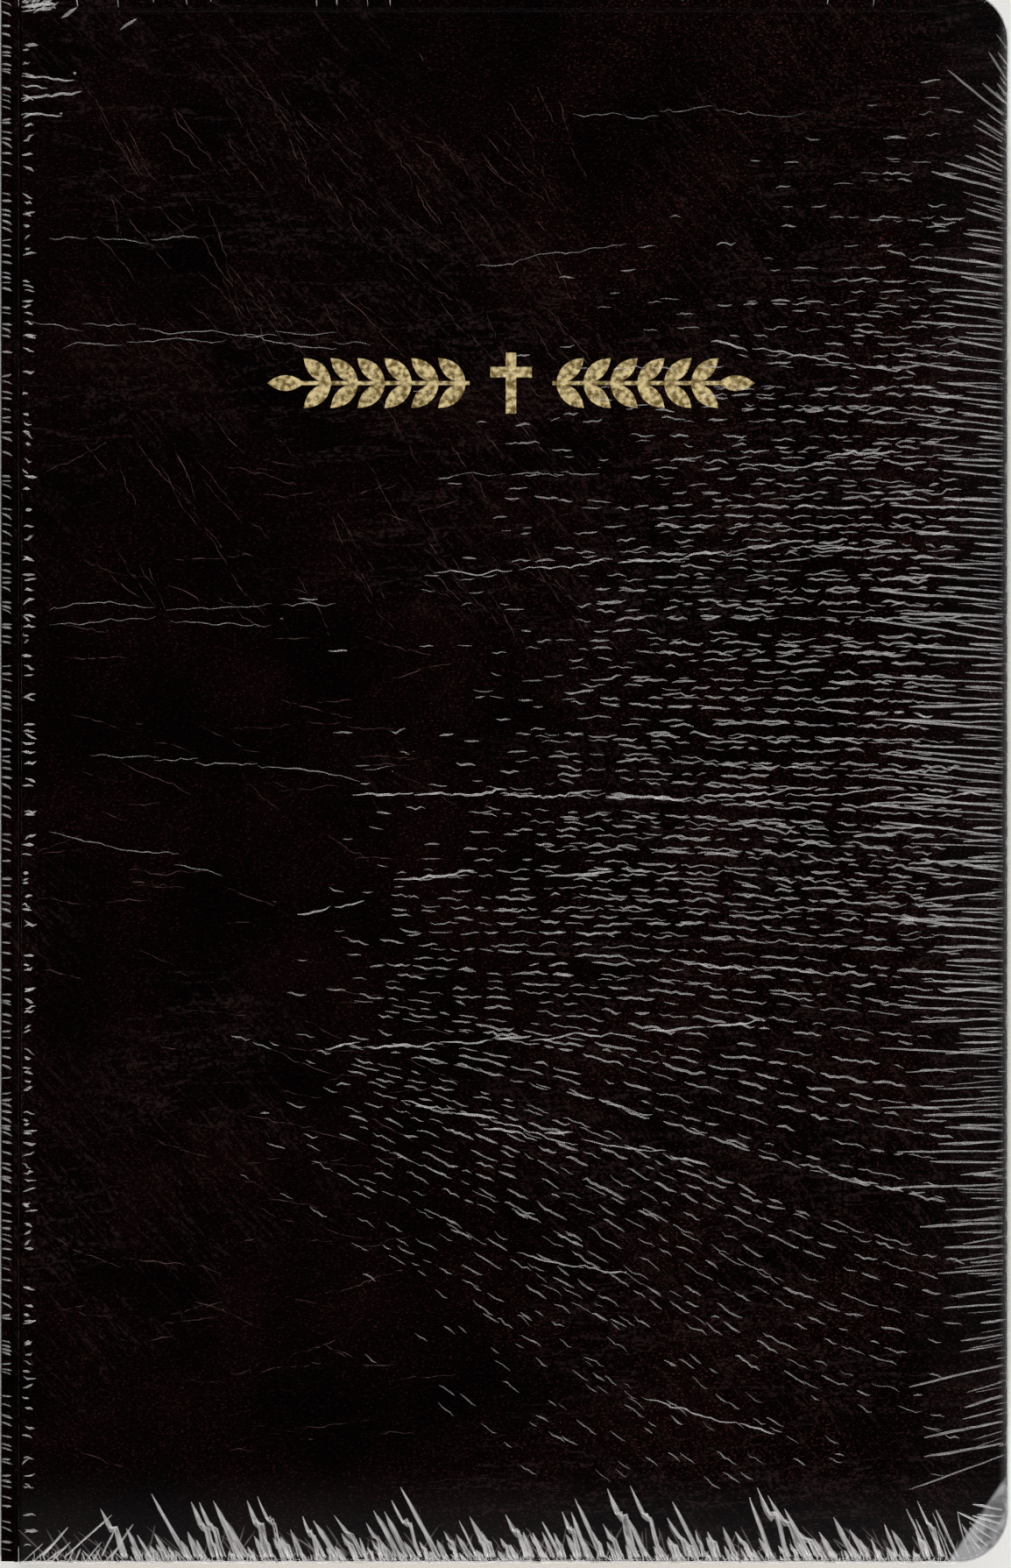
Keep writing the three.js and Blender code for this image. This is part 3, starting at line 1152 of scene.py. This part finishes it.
@dataclass
class CrinkleField:
    """Fine crinkles that run in wavering rows over the level film and bend down to the tail."""

    luck: random.Random
    pitch: float = 0.86
    step: float = 0.7
    rows: tuple[float, float] = (-92.0, 104.0)
    run: tuple[float, float] = (-40.0, 67.5)

    def heading(self, x: float, y: float) -> float:
        """The way a row runs at a place, in degrees from +X.

        Args:
            x: in millimetres.
            y: in millimetres.
        Returns:
            The direction.
        """
        low = 1 / (1 + math.exp((y + 42) / 7))
        lower = 1 / (1 + math.exp((y + 66) / 7))
        flat = 1 / (1 + math.exp((x - 47) / 7))
        rise = 5 * math.exp(-(((x - 5) / 16) ** 2 + ((y + 22) / 12) ** 2))
        upper = 3 / (1 + math.exp(-(y - 5) / 8))
        return rise + upper - 3 - low * (4 + 15 * flat) - lower * (5 + 9 * flat)

    def density(self, x: float, y: float) -> float:
        """How much of a row is raised at a place, from 0 to 1, with none near the head and the tail.

        Args:
            x: in millimetres.
            y: in millimetres.
        Returns:
            The share.
        """
        if not -102 < y < 106:
            return 0.0
        main = 1.2 * math.exp(-(((x - 37) / 33) ** 2 + ((y + 30) / 50) ** 2) ** 1.15)
        low_left = 0.7 * math.exp(-(((x - 2) / 24) ** 2 + ((y + 44) / 24) ** 2) ** 1.2)
        fore = 0.75 * math.exp(-(((x - 60) / 14) ** 2 + ((y - 2) / 75) ** 4))
        upper = 0.3 * math.exp(-(((x - 40) / 30) ** 2 + ((y - 38) / 26) ** 2))
        return min(0.86, main + low_left + fore + upper)

    def build(self, bundle: CreaseBundle, top: float) -> int:
        """Walk every row and raise dashes on it.

        Args:
            bundle: the bundle that gets them.
            top: the height of the film.
        Returns:
            How many dashes were raised.
        """
        made, row = 0, self.rows[0]
        while row < self.rows[1]:
            x, y = self.run[0] + self.luck.uniform(-2, 2), row
            path, swell, left, girth, waver = [], [], 0.0, 1.0, 0.0
            while x < self.run[1]:
                if left <= 0 and path:
                    ends = [0.3] + [1.0] * (len(path) - 2) + [0.25]
                    bundle.add(path, [girth * a * b for a, b in zip(swell, ends)])
                    path, swell, made = [], [], made + 1
                raised = self.density(x, y)
                if left <= 0 and self.luck.random() < raised * 0.46:
                    left = self.luck.uniform(1.3, 3.4) + 6.0 * raised * self.luck.random() ** 2.4
                    girth = self.luck.uniform(0.35, 1.1) * (0.72 + 0.35 * raised)
                if left > 0:
                    path.append(Vector((x * MM, (y + waver) * MM, top)))
                    swell.append(self.luck.uniform(0.75, 1.1))
                    left -= self.step
                waver = 0.55 * waver + self.luck.gauss(0, 0.13)
                angle = math.radians(self.heading(x, y) + self.luck.gauss(0, 4))
                x += self.step * math.cos(angle)
                y += self.step * math.sin(angle)
                path = path if left > 0 or len(path) > 2 else []
                swell = swell[:len(path)]
            row += self.pitch * self.luck.uniform(0.75, 1.25)
        return made


@dataclass
class FrontFolds:
    """Every fold of the film on the front cover."""

    palette: Palette
    luck: random.Random = field(default_factory=lambda: random.Random(17))
    long_folds: tuple[tuple[float, float, float, float], ...] = (
        (-10, 29.5, 66, 3.5), (-22, -2.7, 92, 0), (6, -14.5, 10, 2), (-26, -39.5, 64, 3),
        (-15, -47, 46, -12), (-3, -51, 13, -4), (2, -69, 16, -10), (-30, -20, 10, 12),
        (-16, -15, 12, 6), (26, -27, 22, -3), (20, -90, 20, -14), (34, 45, 24, 5), (30, 63, 30, -8),
    )
    faint_folds: tuple[tuple[float, float, float, float], ...] = (
        (-66, 24, 42, 2), (-66, 22, 34, 1), (-64, 62, 40, 3), (-69, 66, 50, -4), (-4, 74, 26, 7),
        (-10, 43, 24, 4), (-66, -8, 26, -14), (-60, 3, 44, -3), (-66, 78, 22, -2), (10, 96, 34, 1),
    )

    fore_stretches: tuple[tuple, ...] = (
        (-98, -72, 1.9, (4, 15), (-0.28, -0.1)), (-72, -30, 1.05, (5, 20), (-0.08, 0.03)),
        (-30, 40, 1.0, (5, 21), (0.04, 0.07)), (40, 74, 1.15, (4, 17), (0.06, 0.12)),
        (74, 88, 1.25, (5, 17), (0.12, 0.35)), (88, 97, 1.25, (2.5, 9), (0.5, 0.9)),
        (97, 105, 1.3, (1, 3), (1.2, 1.8)),
    )

    def __post_init__(self) -> None:
        """Find the outline and the face that the folds lie on."""
        low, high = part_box("front_film")
        self.outline = Outline(low.x, high.x, high.y, FILM_CORNER)
        self.half_height = high.y
        self.top = high.z - FILM_SINK
        self.edges = EdgeFolds(self.outline, self.top, 1.1 * MM, self.luck)

    def spot(self, x: float, y: float) -> Vector:
        """A place on the level film, from millimetres."""
        return Vector((x * MM, y * MM, self.top))

    def long_crease(self, bundle: CreaseBundle, x: float, y: float, length: float, heading: float,
                    size: float) -> None:
        """Add one long wavering crease, broken into dashes.

        Args:
            bundle: the bundle that gets it.
            x: where it starts, in millimetres.
            y: where it starts, in millimetres.
            length: in millimetres.
            heading: degrees from +X.
            size: its average swell.
        """
        at, left, angle = self.spot(x, y), length * MM, math.radians(heading)
        while left > 0:
            run = min(left, self.luck.uniform(5, 16) * MM)
            crinkle(bundle, self.luck, at, run, heading, size * self.luck.uniform(0.55, 1.15), 0.2)
            step = run * self.luck.uniform(0.9, 1.12)
            at = at + Vector((math.cos(angle), math.sin(angle), 0)) * step
            at.y += self.luck.gauss(0, 0.22 * MM)
            left -= step

    def fore_edge(self) -> CreaseBundle:
        """The slanting folds that cross the fore-edge, long ones over a fringe of short ones.

        Returns:
            The bundle of folds.
        """
        fore = CreaseBundle("front_film_fore_folds")
        for start, end, pitch, (short, long), slants in self.fore_stretches:
            ways = self.outline.stretch(Edge.FORE, start, end)
            self.edges.comb(fore, ways, pitch * 1.15, (short, long), slants, 0.95)
            self.edges.comb(fore, ways, 1.15, (short * 0.3, long * 0.42), slants, 0.35)
        self.edges.rim_line(fore, self.outline.stretch(Edge.FORE, -108, 103), 0.35, 0.9)
        return fore

    def tail_and_head(self) -> tuple[CreaseBundle, CreaseBundle, CreaseBundle]:
        """The gathered tucks of the tail, its ripples and corners, and a few folds at the head.

        Returns:
            The folds, the film webbed between them and the low ripples.
        """
        stretch, comb, strokes = self.outline.stretch, self.edges.comb, self.edges.strokes
        tail = CreaseBundle("front_film_tail_folds")
        web = CreaseBundle("front_film_tail_web", 0.5 * MM, 0.1)
        ripples = CreaseBundle("front_film_tail_ripples")
        comb(tail, stretch(Edge.TAIL, -70, -57), 1.0, (2, 8), (1.2, 0.5), 0.9, 0.2)
        strokes(tail, web, stretch(Edge.TAIL, -55, 64), 1.95, (3.5, 11.5), -0.45)
        strokes(tail, web, stretch(Edge.TAIL, -55, 64), 1.5, (1.5, 4.8), -0.4)
        comb(tail, stretch(Edge.TAIL, -68, 66), 0.55, (0.5, 1.9), (-0.4, -0.4), 0.7, 0.5)
        comb(ripples, stretch(Edge.TAIL, -66, 65), 0.6, (1.5, 5.5), (-0.5, -0.35), 0.75, 0.6)
        corner = (self.outline.way_to(Edge.TAIL, 62), self.outline.way_to(Edge.FORE, -105.5))
        comb(tail, corner, 1.1, (4.5, 8), (-0.5, 0.15), 1.1, 0.08)
        self.edges.rim_line(tail, stretch(Edge.TAIL, -70, 66), 0.3, 1.3)
        comb(tail, stretch(Edge.HEAD, 60, -69), 4.5, (0.8, 2.6), (0.2, -0.2), 0.5)
        return tail, web, ripples

    def long_creases(self) -> CreaseBundle:
        """The long creases of the level film, and the bunch at the head's spine corner.

        Returns:
            The bundle of creases.
        """
        bundle = CreaseBundle("front_film_long_creases", 0.16 * MM)
        for x, y, length, heading in self.long_folds:
            self.long_crease(bundle, x, y, length, heading, 1.0)
        for y, length in ((101.5, 8), (98.2, 9), (95.9, 6), (100.2, 4), (111.5, 5)):
            self.long_crease(bundle, -70, y, length, self.luck.gauss(0, 5), 1.1)
        for _ in range(26):
            start = self.spot(self.luck.uniform(-70, -66.5), self.luck.uniform(110.6, 113))
            room = (self.half_height - start.y) * 0.8
            crinkle(bundle, self.luck, start, min(self.luck.uniform(1, 3.6) * MM, room),
                    self.luck.uniform(-15, 60), self.luck.uniform(0.6, 1.4), 0.35)
        for x, y in ((-64.2, 109.9), (-55.6, 108.2)):
            crinkle(bundle, self.luck, self.spot(x, y), 2.8 * MM, 38, 1.7, 0.1)
        return bundle

    def fine_lines(self) -> tuple[CreaseBundle, CreaseBundle]:
        """The faint creases with the rows of fine crinkles, and the hairlines.

        Returns:
            The crinkles and the hairlines.
        """
        fine, hairs = (CreaseBundle(f"front_film_{name}", 0.155 * MM)
                       for name in ("fine_crinkles", "hairlines"))
        for x, y, length, heading in self.faint_folds:
            self.long_crease(fine, x, y, length, heading, 0.4)
        for count, xs, ys, lengths, headings in (
                (120, (-62, 8), (28, 106), (4, 17), (-54, 9)),
                (110, (-68, -12), (-100, 46), (3, 12), (-8, 14))):
            for _ in range(count):
                self.long_crease(hairs, self.luck.uniform(*xs), self.luck.uniform(*ys),
                                 self.luck.uniform(*lengths), self.luck.gauss(*headings), 0.26)
        LOG.info("%d fine crinkles", CrinkleField(self.luck).build(fine, self.top))
        return fine, hairs

    def build(self) -> list[Piece]:
        """Make every fold, crease and crinkle.

        Returns:
            The pieces, which ride on the front cover.
        """
        fore = self.fore_edge()
        tail, web, ripples = self.tail_and_head()
        long_ones = self.long_creases()
        fine, hairs = self.fine_lines()
        looks = self.palette
        pieces = [bundle.build(look) for bundle, look in (
            (fore, looks.fore_crease), (tail, looks.crease), (web, looks.web),
            (long_ones, looks.long_crease), (hairs, looks.hairline), (fine, looks.faint_crease),
            (ripples, looks.low_crease))]
        return [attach(piece, "front_cover") for piece in pieces]


@dataclass
class BackFolds:
    """The folds of the film along the back cover's edges."""

    palette: Palette
    luck: random.Random = field(default_factory=lambda: random.Random(29))

    def build(self) -> Piece:
        """Make the folds, which stay on the cover's sides and clear of the ground.

        Returns:
            The piece, riding on the cover.
        """
        low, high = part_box("back_film")
        outline = Outline(low.x, high.x, high.y, FILM_CORNER)
        bundle = CreaseBundle("back_film_edge_folds", 0.2 * MM)
        way = 2 * MM
        while way < outline.length - 2 * MM:
            point, inwards = outline.at(way)
            crest = self.luck.uniform(0.4, 1.1)
            path = [point + inwards * 1.5 * MM + Vector((0, 0, high.z)),
                    point + inwards * 0.1 * MM + Vector((0, 0, high.z - 0.1 * MM)),
                    point + Vector((0, 0, high.z - 0.9 * MM)),
                    point + Vector((0, 0, low.z + 0.45 * MM))]
            bundle.add(path, [0.2 * crest, crest, crest, 0.3 * crest])
            way += self.luck.uniform(0.5, 2.1) * MM
        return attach(bundle.build(self.palette.crease), "back_cover")


@dataclass
class Spine:
    """The spine's leather, its joints at both covers, its lining, bands and film."""

    palette: Palette
    shoulder: float = 1.1 * MM
    back_shoulder: float = 1.4 * MM
    bead: float = 0.3 * MM
    end_round: float = 0.5 * MM
    silk_turns: int = 30
    silk_dip: float = 0.84
    luck: random.Random = field(default_factory=lambda: random.Random(41))

    def leather(self) -> Piece:
        """The back of the spine, softly rounded along its ends.

        Returns:
            The piece, riding on the spine.
        """
        low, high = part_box("spine_leather")
        bm = slab(low, high, 0)
        ends = [e for e in bm.edges if abs(e.verts[0].co.x - e.verts[1].co.x) < 1e-6
                and e.verts[0].co.x < (low.x + high.x) / 2
                and abs(e.verts[0].co.y - e.verts[1].co.y) < 1e-6]
        bmesh.ops.bevel(bm, geom=ends, affect="EDGES", offset=self.end_round, segments=3, profile=0.5,
                        material=-1)
        piece = finish_piece("spine_back_leather", bm, [self.palette.leather])
        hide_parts("spine_leather")
        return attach(piece, "spine")

    def shoulder_profile(self) -> list[tuple[float, float]]:
        """The front joint's outline in X and Z: a low shoulder, a neck and a bead round the hinge.

        Returns:
            The points in order.
        """
        low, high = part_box("front_joint_leather")
        hinge = FRAME_PIVOTS["front_cover_hinge"]
        bead, neck = self.bead, hinge.x - self.bead
        return [*arc((low.x + self.shoulder, low.z), (self.shoulder, high.z - low.z),
                     (math.pi, math.pi / 2), 5),
                (neck - 0.15 * MM, high.z), (neck, high.z + 0.15 * MM),
                *arc((hinge.x, hinge.z), (bead, bead), (math.pi, 0), 6), (hinge.x + bead, low.z)]

    def back_profile(self) -> list[tuple[float, float]]:
        """The back joint's outline in X and Z: a round shoulder and a shallow crease by the cover.

        Returns:
            The points in order.
        """
        low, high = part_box("back_joint_leather")
        cover_x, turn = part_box("back_leather")[0].x, self.back_shoulder
        return [*arc((low.x + turn, low.z + turn), (turn, turn), (math.pi, 1.5 * math.pi), 7),
                (cover_x - 0.75 * MM, low.z), (cover_x - 0.4 * MM, low.z + 0.35 * MM),
                (cover_x - 0.05 * MM, low.z + 0.6 * MM), (cover_x - 0.05 * MM, high.z),
                (low.x, high.z)]

    def joint(self, front: bool) -> Piece:
        """The leather that turns from the spine to a cover.

        Args:
            front: whether it is the front cover's joint.
        Returns:
            The piece.
        """
        side = "front" if front else "back"
        low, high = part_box(f"{side}_joint_leather")
        profile = self.shoulder_profile() if front else self.back_profile()
        bm = bmesh.new()
        end_face = bm.faces.new([bm.verts.new((x, low.y, z)) for x, z in profile])
        moved = bmesh.ops.extrude_face_region(bm, geom=[end_face])["geom"]
        bmesh.ops.translate(bm, verts=only_verts(moved), vec=(0, high.y - low.y, 0))
        piece = finish_piece(f"{side}_joint", bm, [self.palette.leather], 50)
        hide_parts(f"{side}_joint_leather")
        if front:
            return self.wrap_front(piece)
        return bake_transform(piece)

    def wrap_front(self, piece: Piece) -> Piece:
        """Bake a piece's place on the front shoulder into its mesh.

        Args:
            piece: the piece.
        Returns:
            The same piece.
        """
        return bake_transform(piece)

    def bands(self) -> list[Piece]:
        """The headband and the tailband, each a roll wound with silk.

        Returns:
            The two pieces, riding on the spine.
        """
        made = []
        for name in ("headband", "tailband"):
            low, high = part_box(name)
            middle = (low + high) / 2
            bm = bmesh.new()
            length, radius = high.z - low.z, (high.y - low.y) / 2
            bmesh.ops.create_cone(bm, cap_ends=True, segments=16, radius1=radius, radius2=radius,
                                  depth=length)
            for turn in range(1, self.silk_turns):
                at = -length / 2 + length * turn / self.silk_turns
                ring = bmesh.ops.bisect_plane(bm, geom=all_of(bm), plane_co=(0, 0, at),
                                              plane_no=(0, 0, 1))["geom_cut"]
                if turn % 2:
                    bmesh.ops.scale(bm, verts=only_verts(ring), vec=(self.silk_dip, self.silk_dip, 1))
            bmesh.ops.translate(bm, verts=bm.verts, vec=middle)
            piece = finish_piece(f"{name}_roll", bm, [self.palette.silk])
            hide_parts(name)
            made.append(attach(piece, "spine"))
        return made

    def film(self) -> list[Piece]:
        """The film over the spine, and its folds on both shoulders.

        Returns:
            The sheet and its folds, riding on the spine.
        """
        low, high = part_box("spine_film")
        bm = bmesh.new()
        bmesh.ops.create_grid(bm, x_segments=6, y_segments=40, size=0.5)
        bmesh.ops.scale(bm, verts=bm.verts, vec=(high.z - low.z, high.y - low.y, 1))
        bmesh.ops.rotate(bm, verts=bm.verts, cent=(0, 0, 0), matrix=Matrix.Rotation(math.pi / 2, 3, "Y"))
        bmesh.ops.translate(bm, verts=bm.verts, vec=(low.x, 0, (low.z + high.z) / 2))
        sheet = finish_piece("spine_sheet_film", bm, [self.palette.film])
        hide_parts("spine_film")
        folds = CreaseBundle("spine_film_folds")
        y = low.y + 2 * MM
        while y < high.y - 2 * MM:
            size = self.luck.uniform(0.5, 1.2)
            tilt = self.luck.gauss(0.1, 0.22) * MM
            for end, sign in ((high.z, 1), (low.z, -1)):
                reach = self.luck.uniform(2, 7) * MM
                path = [Vector((low.x - 0.02 * MM, y + tilt * sign, end - sign * 0.2 * MM)),
                        Vector((low.x - 0.04 * MM, y, end - sign * reach * 0.4)),
                        Vector((low.x, y - tilt * sign, end - sign * reach))]
                folds.add(path, [size, size * 0.8, 0.1])
            y += self.luck.uniform(0.7, 2.6) * MM
        return [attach(sheet, "spine"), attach(folds.build(self.palette.crease), "spine")]

    def joint_folds(self) -> list[Piece]:
        """Two rows of short folds on either side of the front joint's crease.

        Returns:
            The folds on the shoulder, and those beside the joint.
        """
        low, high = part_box("front_joint_leather")
        cover_low, cover_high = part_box("front_leather")
        top = cover_high.z + 0.05 * MM
        rise = high.z - low.z
        shoulder = CreaseBundle("shoulder_folds", rise=0.3)
        beside = CreaseBundle("joint_side_folds")
        half = cover_high.y - 1.5 * MM
        y = -half
        while y < half:
            slope = self.luck.gauss(-0.25, 0.2)
            if self.luck.random() < 0.85:
                size = self.luck.uniform(0.45, 1.1)
                end = cover_low.x - self.luck.uniform(0.95, 1.25) * MM
                path = [Vector((end, y, high.z))]
                for across in (1.1, 0.62, 0.3, 0.1):
                    lean = 1 - across * MM / self.shoulder
                    path.append(Vector((low.x + across * MM, y + slope * (across - 2) * 0.7 * MM,
                                        low.z + rise * math.sqrt(max(0.0, 1 - lean * lean)))))
                shoulder.add(path, [0.2 * size, size, size, size * 0.8, size * 0.4])
            if self.luck.random() < 0.7:
                length = self.luck.uniform(0.8, 2.0) * MM
                start = Vector((cover_low.x + self.luck.uniform(0.5, 1.0) * MM,
                                y + self.luck.gauss(0, 0.4) * MM, top))
                crinkle(beside, self.luck, start, length, self.luck.gauss(0, 16),
                        self.luck.uniform(0.7, 1.3), 0.3)
            y += self.luck.uniform(0.5, 1.7) * MM
        return [self.wrap_front(shoulder.build(self.palette.long_crease)),
                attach(beside.build(self.palette.long_crease), "front_cover")]

    def dress(self) -> None:
        """Give the lining and the mull their finishes."""
        dress_node("spine_liner", self.palette.liner)
        dress_node("mull", self.palette.mull)


@dataclass
class TextBlock:
    """The page sections, cut across near the spine, and the loose leaves."""

    palette: Palette
    corner: float = 8.0 * MM
    bend_columns: int = 14
    bend_start: float = 0.65
    bend_end: float = 0.93 * math.pi / 2
    leaf_bend: float = 13.0 * MM
    leaf_columns: int = 16
    uneven: float = 0.16 * MM
    luck: random.Random = field(default_factory=lambda: random.Random(53))

    def sheet(self, name: str, low: Vector, high: Vector, cuts: list[float],
              faces: Material, edges: Material) -> Piece:
        """A stack of leaves with rounded fore-edge corners, cut across at the given places.

        Args:
            name: the piece's name.
            low: its lowest corner.
            high: its highest corner.
            cuts: where it gets a line of points along Y.
            faces: the finish of its top and bottom.
            edges: the finish of its three cut edges.
        Returns:
            The piece, riding on nothing yet.
        """
        bm = slab(low, high, self.corner)
        for x in cuts:
            bmesh.ops.bisect_plane(bm, geom=all_of(bm), plane_co=(x, 0, 0), plane_no=(1, 0, 0))
        for made in bm.faces:
            made.material_index = 0 if abs(made.normal.z) > 0.5 else 1
        return finish_piece(name, bm, [faces, edges], 30)

    def sections(self) -> int:
        """Every section, cut across between the spine and its own free part.

        Returns:
            How many were made.
        """
        spine_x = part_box("rear_gutter")[0].x
        back_z = FRAME_PIVOTS["book_opening"].z
        front_z = FRAME_PIVOTS["front_joint_fold"].z
        names = sorted(n for n in FRAME_NODES if "_section_" in n)
        for name in names:
            low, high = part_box(name)
            side = name.split("_", 1)[0]
            middle = (low.z + high.z) / 2
            radius = middle - back_z if side == "rear" else front_z - middle
            low.x = spine_x
            high.x -= self.luck.uniform(0.0, self.uneven)
            reach = math.pi / 2 * radius
            cuts = [spine_x + reach * 1.05 * step / self.bend_columns
                    for step in range(1, self.bend_columns + 1)]
            inner = name == self.innermost(side)
            piece = self.sheet(f"{name}_leaves", low, high, cuts,
                               self.palette.print if inner else self.palette.paper, self.palette.gilt)
            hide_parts(*((name, f"{side}_gutter") if inner else (name,)))
            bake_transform(piece)
        return len(names)

    def innermost(self, side: str) -> str:
        """The section of one side that faces the middle opening."""
        numbers = [int(n.rsplit("_", 1)[1]) for n in FRAME_NODES if n.startswith(side + "_section_")]
        return f"{side}_section_{max(numbers)}"

    def leaves(self) -> int:
        """The loose leaves under the front cover, each cut across near its spine edge.

        Returns:
            How many were made.
        """
        chain = ["front_joint", "contents_leaf", "title_leaf", "presentation_leaf", "front_flyleaf"]
        for below, name in zip(chain, chain[1:]):
            low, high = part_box(name)
            cuts = [low.x + self.leaf_bend * step / self.leaf_columns
                    for step in range(1, self.leaf_columns + 1)]
            coloured = name == "front_flyleaf"
            faces, edges = self.palette.paper, self.palette.gilt
            if coloured:
                faces = edges = self.palette.flyleaf
            elif name == "contents_leaf":
                faces = self.palette.print
            piece = self.sheet(f"{name}_sheet", low, high, cuts, faces, edges)
            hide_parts(name)
            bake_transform(piece)
        dress_node("back_flyleaf", self.palette.endpaper)
        return len(chain) - 1


# ---- studio --------------------------------------------------------------------------------------
@dataclass
class Studio:
    """The pale floor, the lights on four sides and the camera straight above."""

    palette: Palette
    lens: float = 200.0
    sensor: float = 36.0
    seen_height: float = 227.2 * MM
    room: Point = (0.008, 0.008, 0.0083)
    floor_half: float = 3.0
    floor_gap: float = 0.0002
    aim: tuple[float, float] = (0.2 * MM, -1.1 * MM)

    def floor(self) -> None:
        """The plain ground."""
        bm = bmesh.new()
        bmesh.ops.create_grid(bm, x_segments=1, y_segments=1, size=self.floor_half)
        floor = finish_piece("floor", bm, [self.palette.floor])
        floor.location.z = -self.floor_gap
        floor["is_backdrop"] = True

    def strip(self, name: str, azimuth: float, elevation: float, size: tuple[float, float],
              watts: float, distance: float = 1.1) -> None:
        """A soft box that looks at the book.

        Args:
            name: the light's name.
            azimuth: degrees from +X.
            elevation: degrees above the floor.
            size: its width and height in metres.
            watts: its power.
            distance: from the book.
        """
        light = bpy.data.lights.new(name, "AREA")
        light.shape = "RECTANGLE"
        light.size, light.size_y = size
        light.energy = watts
        obj = add_object(name, light)
        a, e = math.radians(azimuth), math.radians(elevation)
        spot = Vector((math.cos(e) * math.cos(a), math.cos(e) * math.sin(a), math.sin(e))) * distance
        obj.location = spot
        obj.rotation_euler = (-spot).to_track_quat("-Z", "Y").to_euler()

    def lights(self) -> None:
        """Strong soft boxes at head and tail, weaker ones at the sides, and a dim room."""
        for name, azimuth, elevation, size, watts in (
                ("head_box", 90, 45, (1.0, 0.3), 8.6), ("tail_box", -90, 45, (1.0, 0.3), 8.6),
                ("fore_box", 0, 40, (0.8, 0.25), 1.6), ("spine_box", 180, 40, (0.8, 0.2), 0.4)):
            self.strip(name, azimuth, elevation, size, watts)
        world = bpy.data.worlds.new("room")
        world.use_nodes = True
        world.node_tree.nodes["Background"].inputs[0].default_value = (*self.room, 1)
        bpy.context.scene.world = world
        bpy.context.scene.view_settings.view_transform = "Standard"

    def camera(self, top: float) -> None:
        """The camera, straight above with a long lens.

        Args:
            top: the height of the front cover's face.
        """
        data = bpy.data.cameras.new("camera")
        data.lens = self.lens
        data.sensor_width = self.sensor
        distance = self.seen_height * self.lens / self.sensor
        obj = add_object("camera", data)
        obj.location = (*self.aim, top + distance)
        bpy.context.scene.camera = obj


def main() -> None:
    """Build the book on its frame, piece by piece."""
    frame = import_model()
    cad_box = [list(corner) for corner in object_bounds()]
    FRAME_NODES.update(frame["nodes"])
    for joint in frame["joints"]:
        if joint.get("pos_m"):
            FRAME_PIVOTS[joint["name"]] = Vector(joint["pos_m"])
    palette = Palette()
    LOG.info("finishes built")
    for front in (False, True):
        cover = Cover(front, palette)
        for piece in (cover.leather(), cover.film()):
            LOG.info("%s: %d faces", piece.name, len(piece.data.polygons))
        cover.dress()
    spine = Spine(palette)
    pieces = [spine.leather(), spine.joint(True), spine.joint(False), *spine.bands(),
              *spine.film(), *spine.joint_folds()]
    spine.dress()
    pieces += [*FrontFolds(palette).build(), BackFolds(palette).build()]
    for piece in pieces:
        LOG.info("%s: %d faces", piece.name, len(piece.data.polygons))
    block = TextBlock(palette)
    LOG.info("%d sections and %d leaves", block.sections(), block.leaves())
    studio = Studio(palette)
    studio.floor()
    studio.lights()
    studio.camera(cad_box[1][2])
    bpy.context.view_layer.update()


if __name__ == "__main__":
    main()
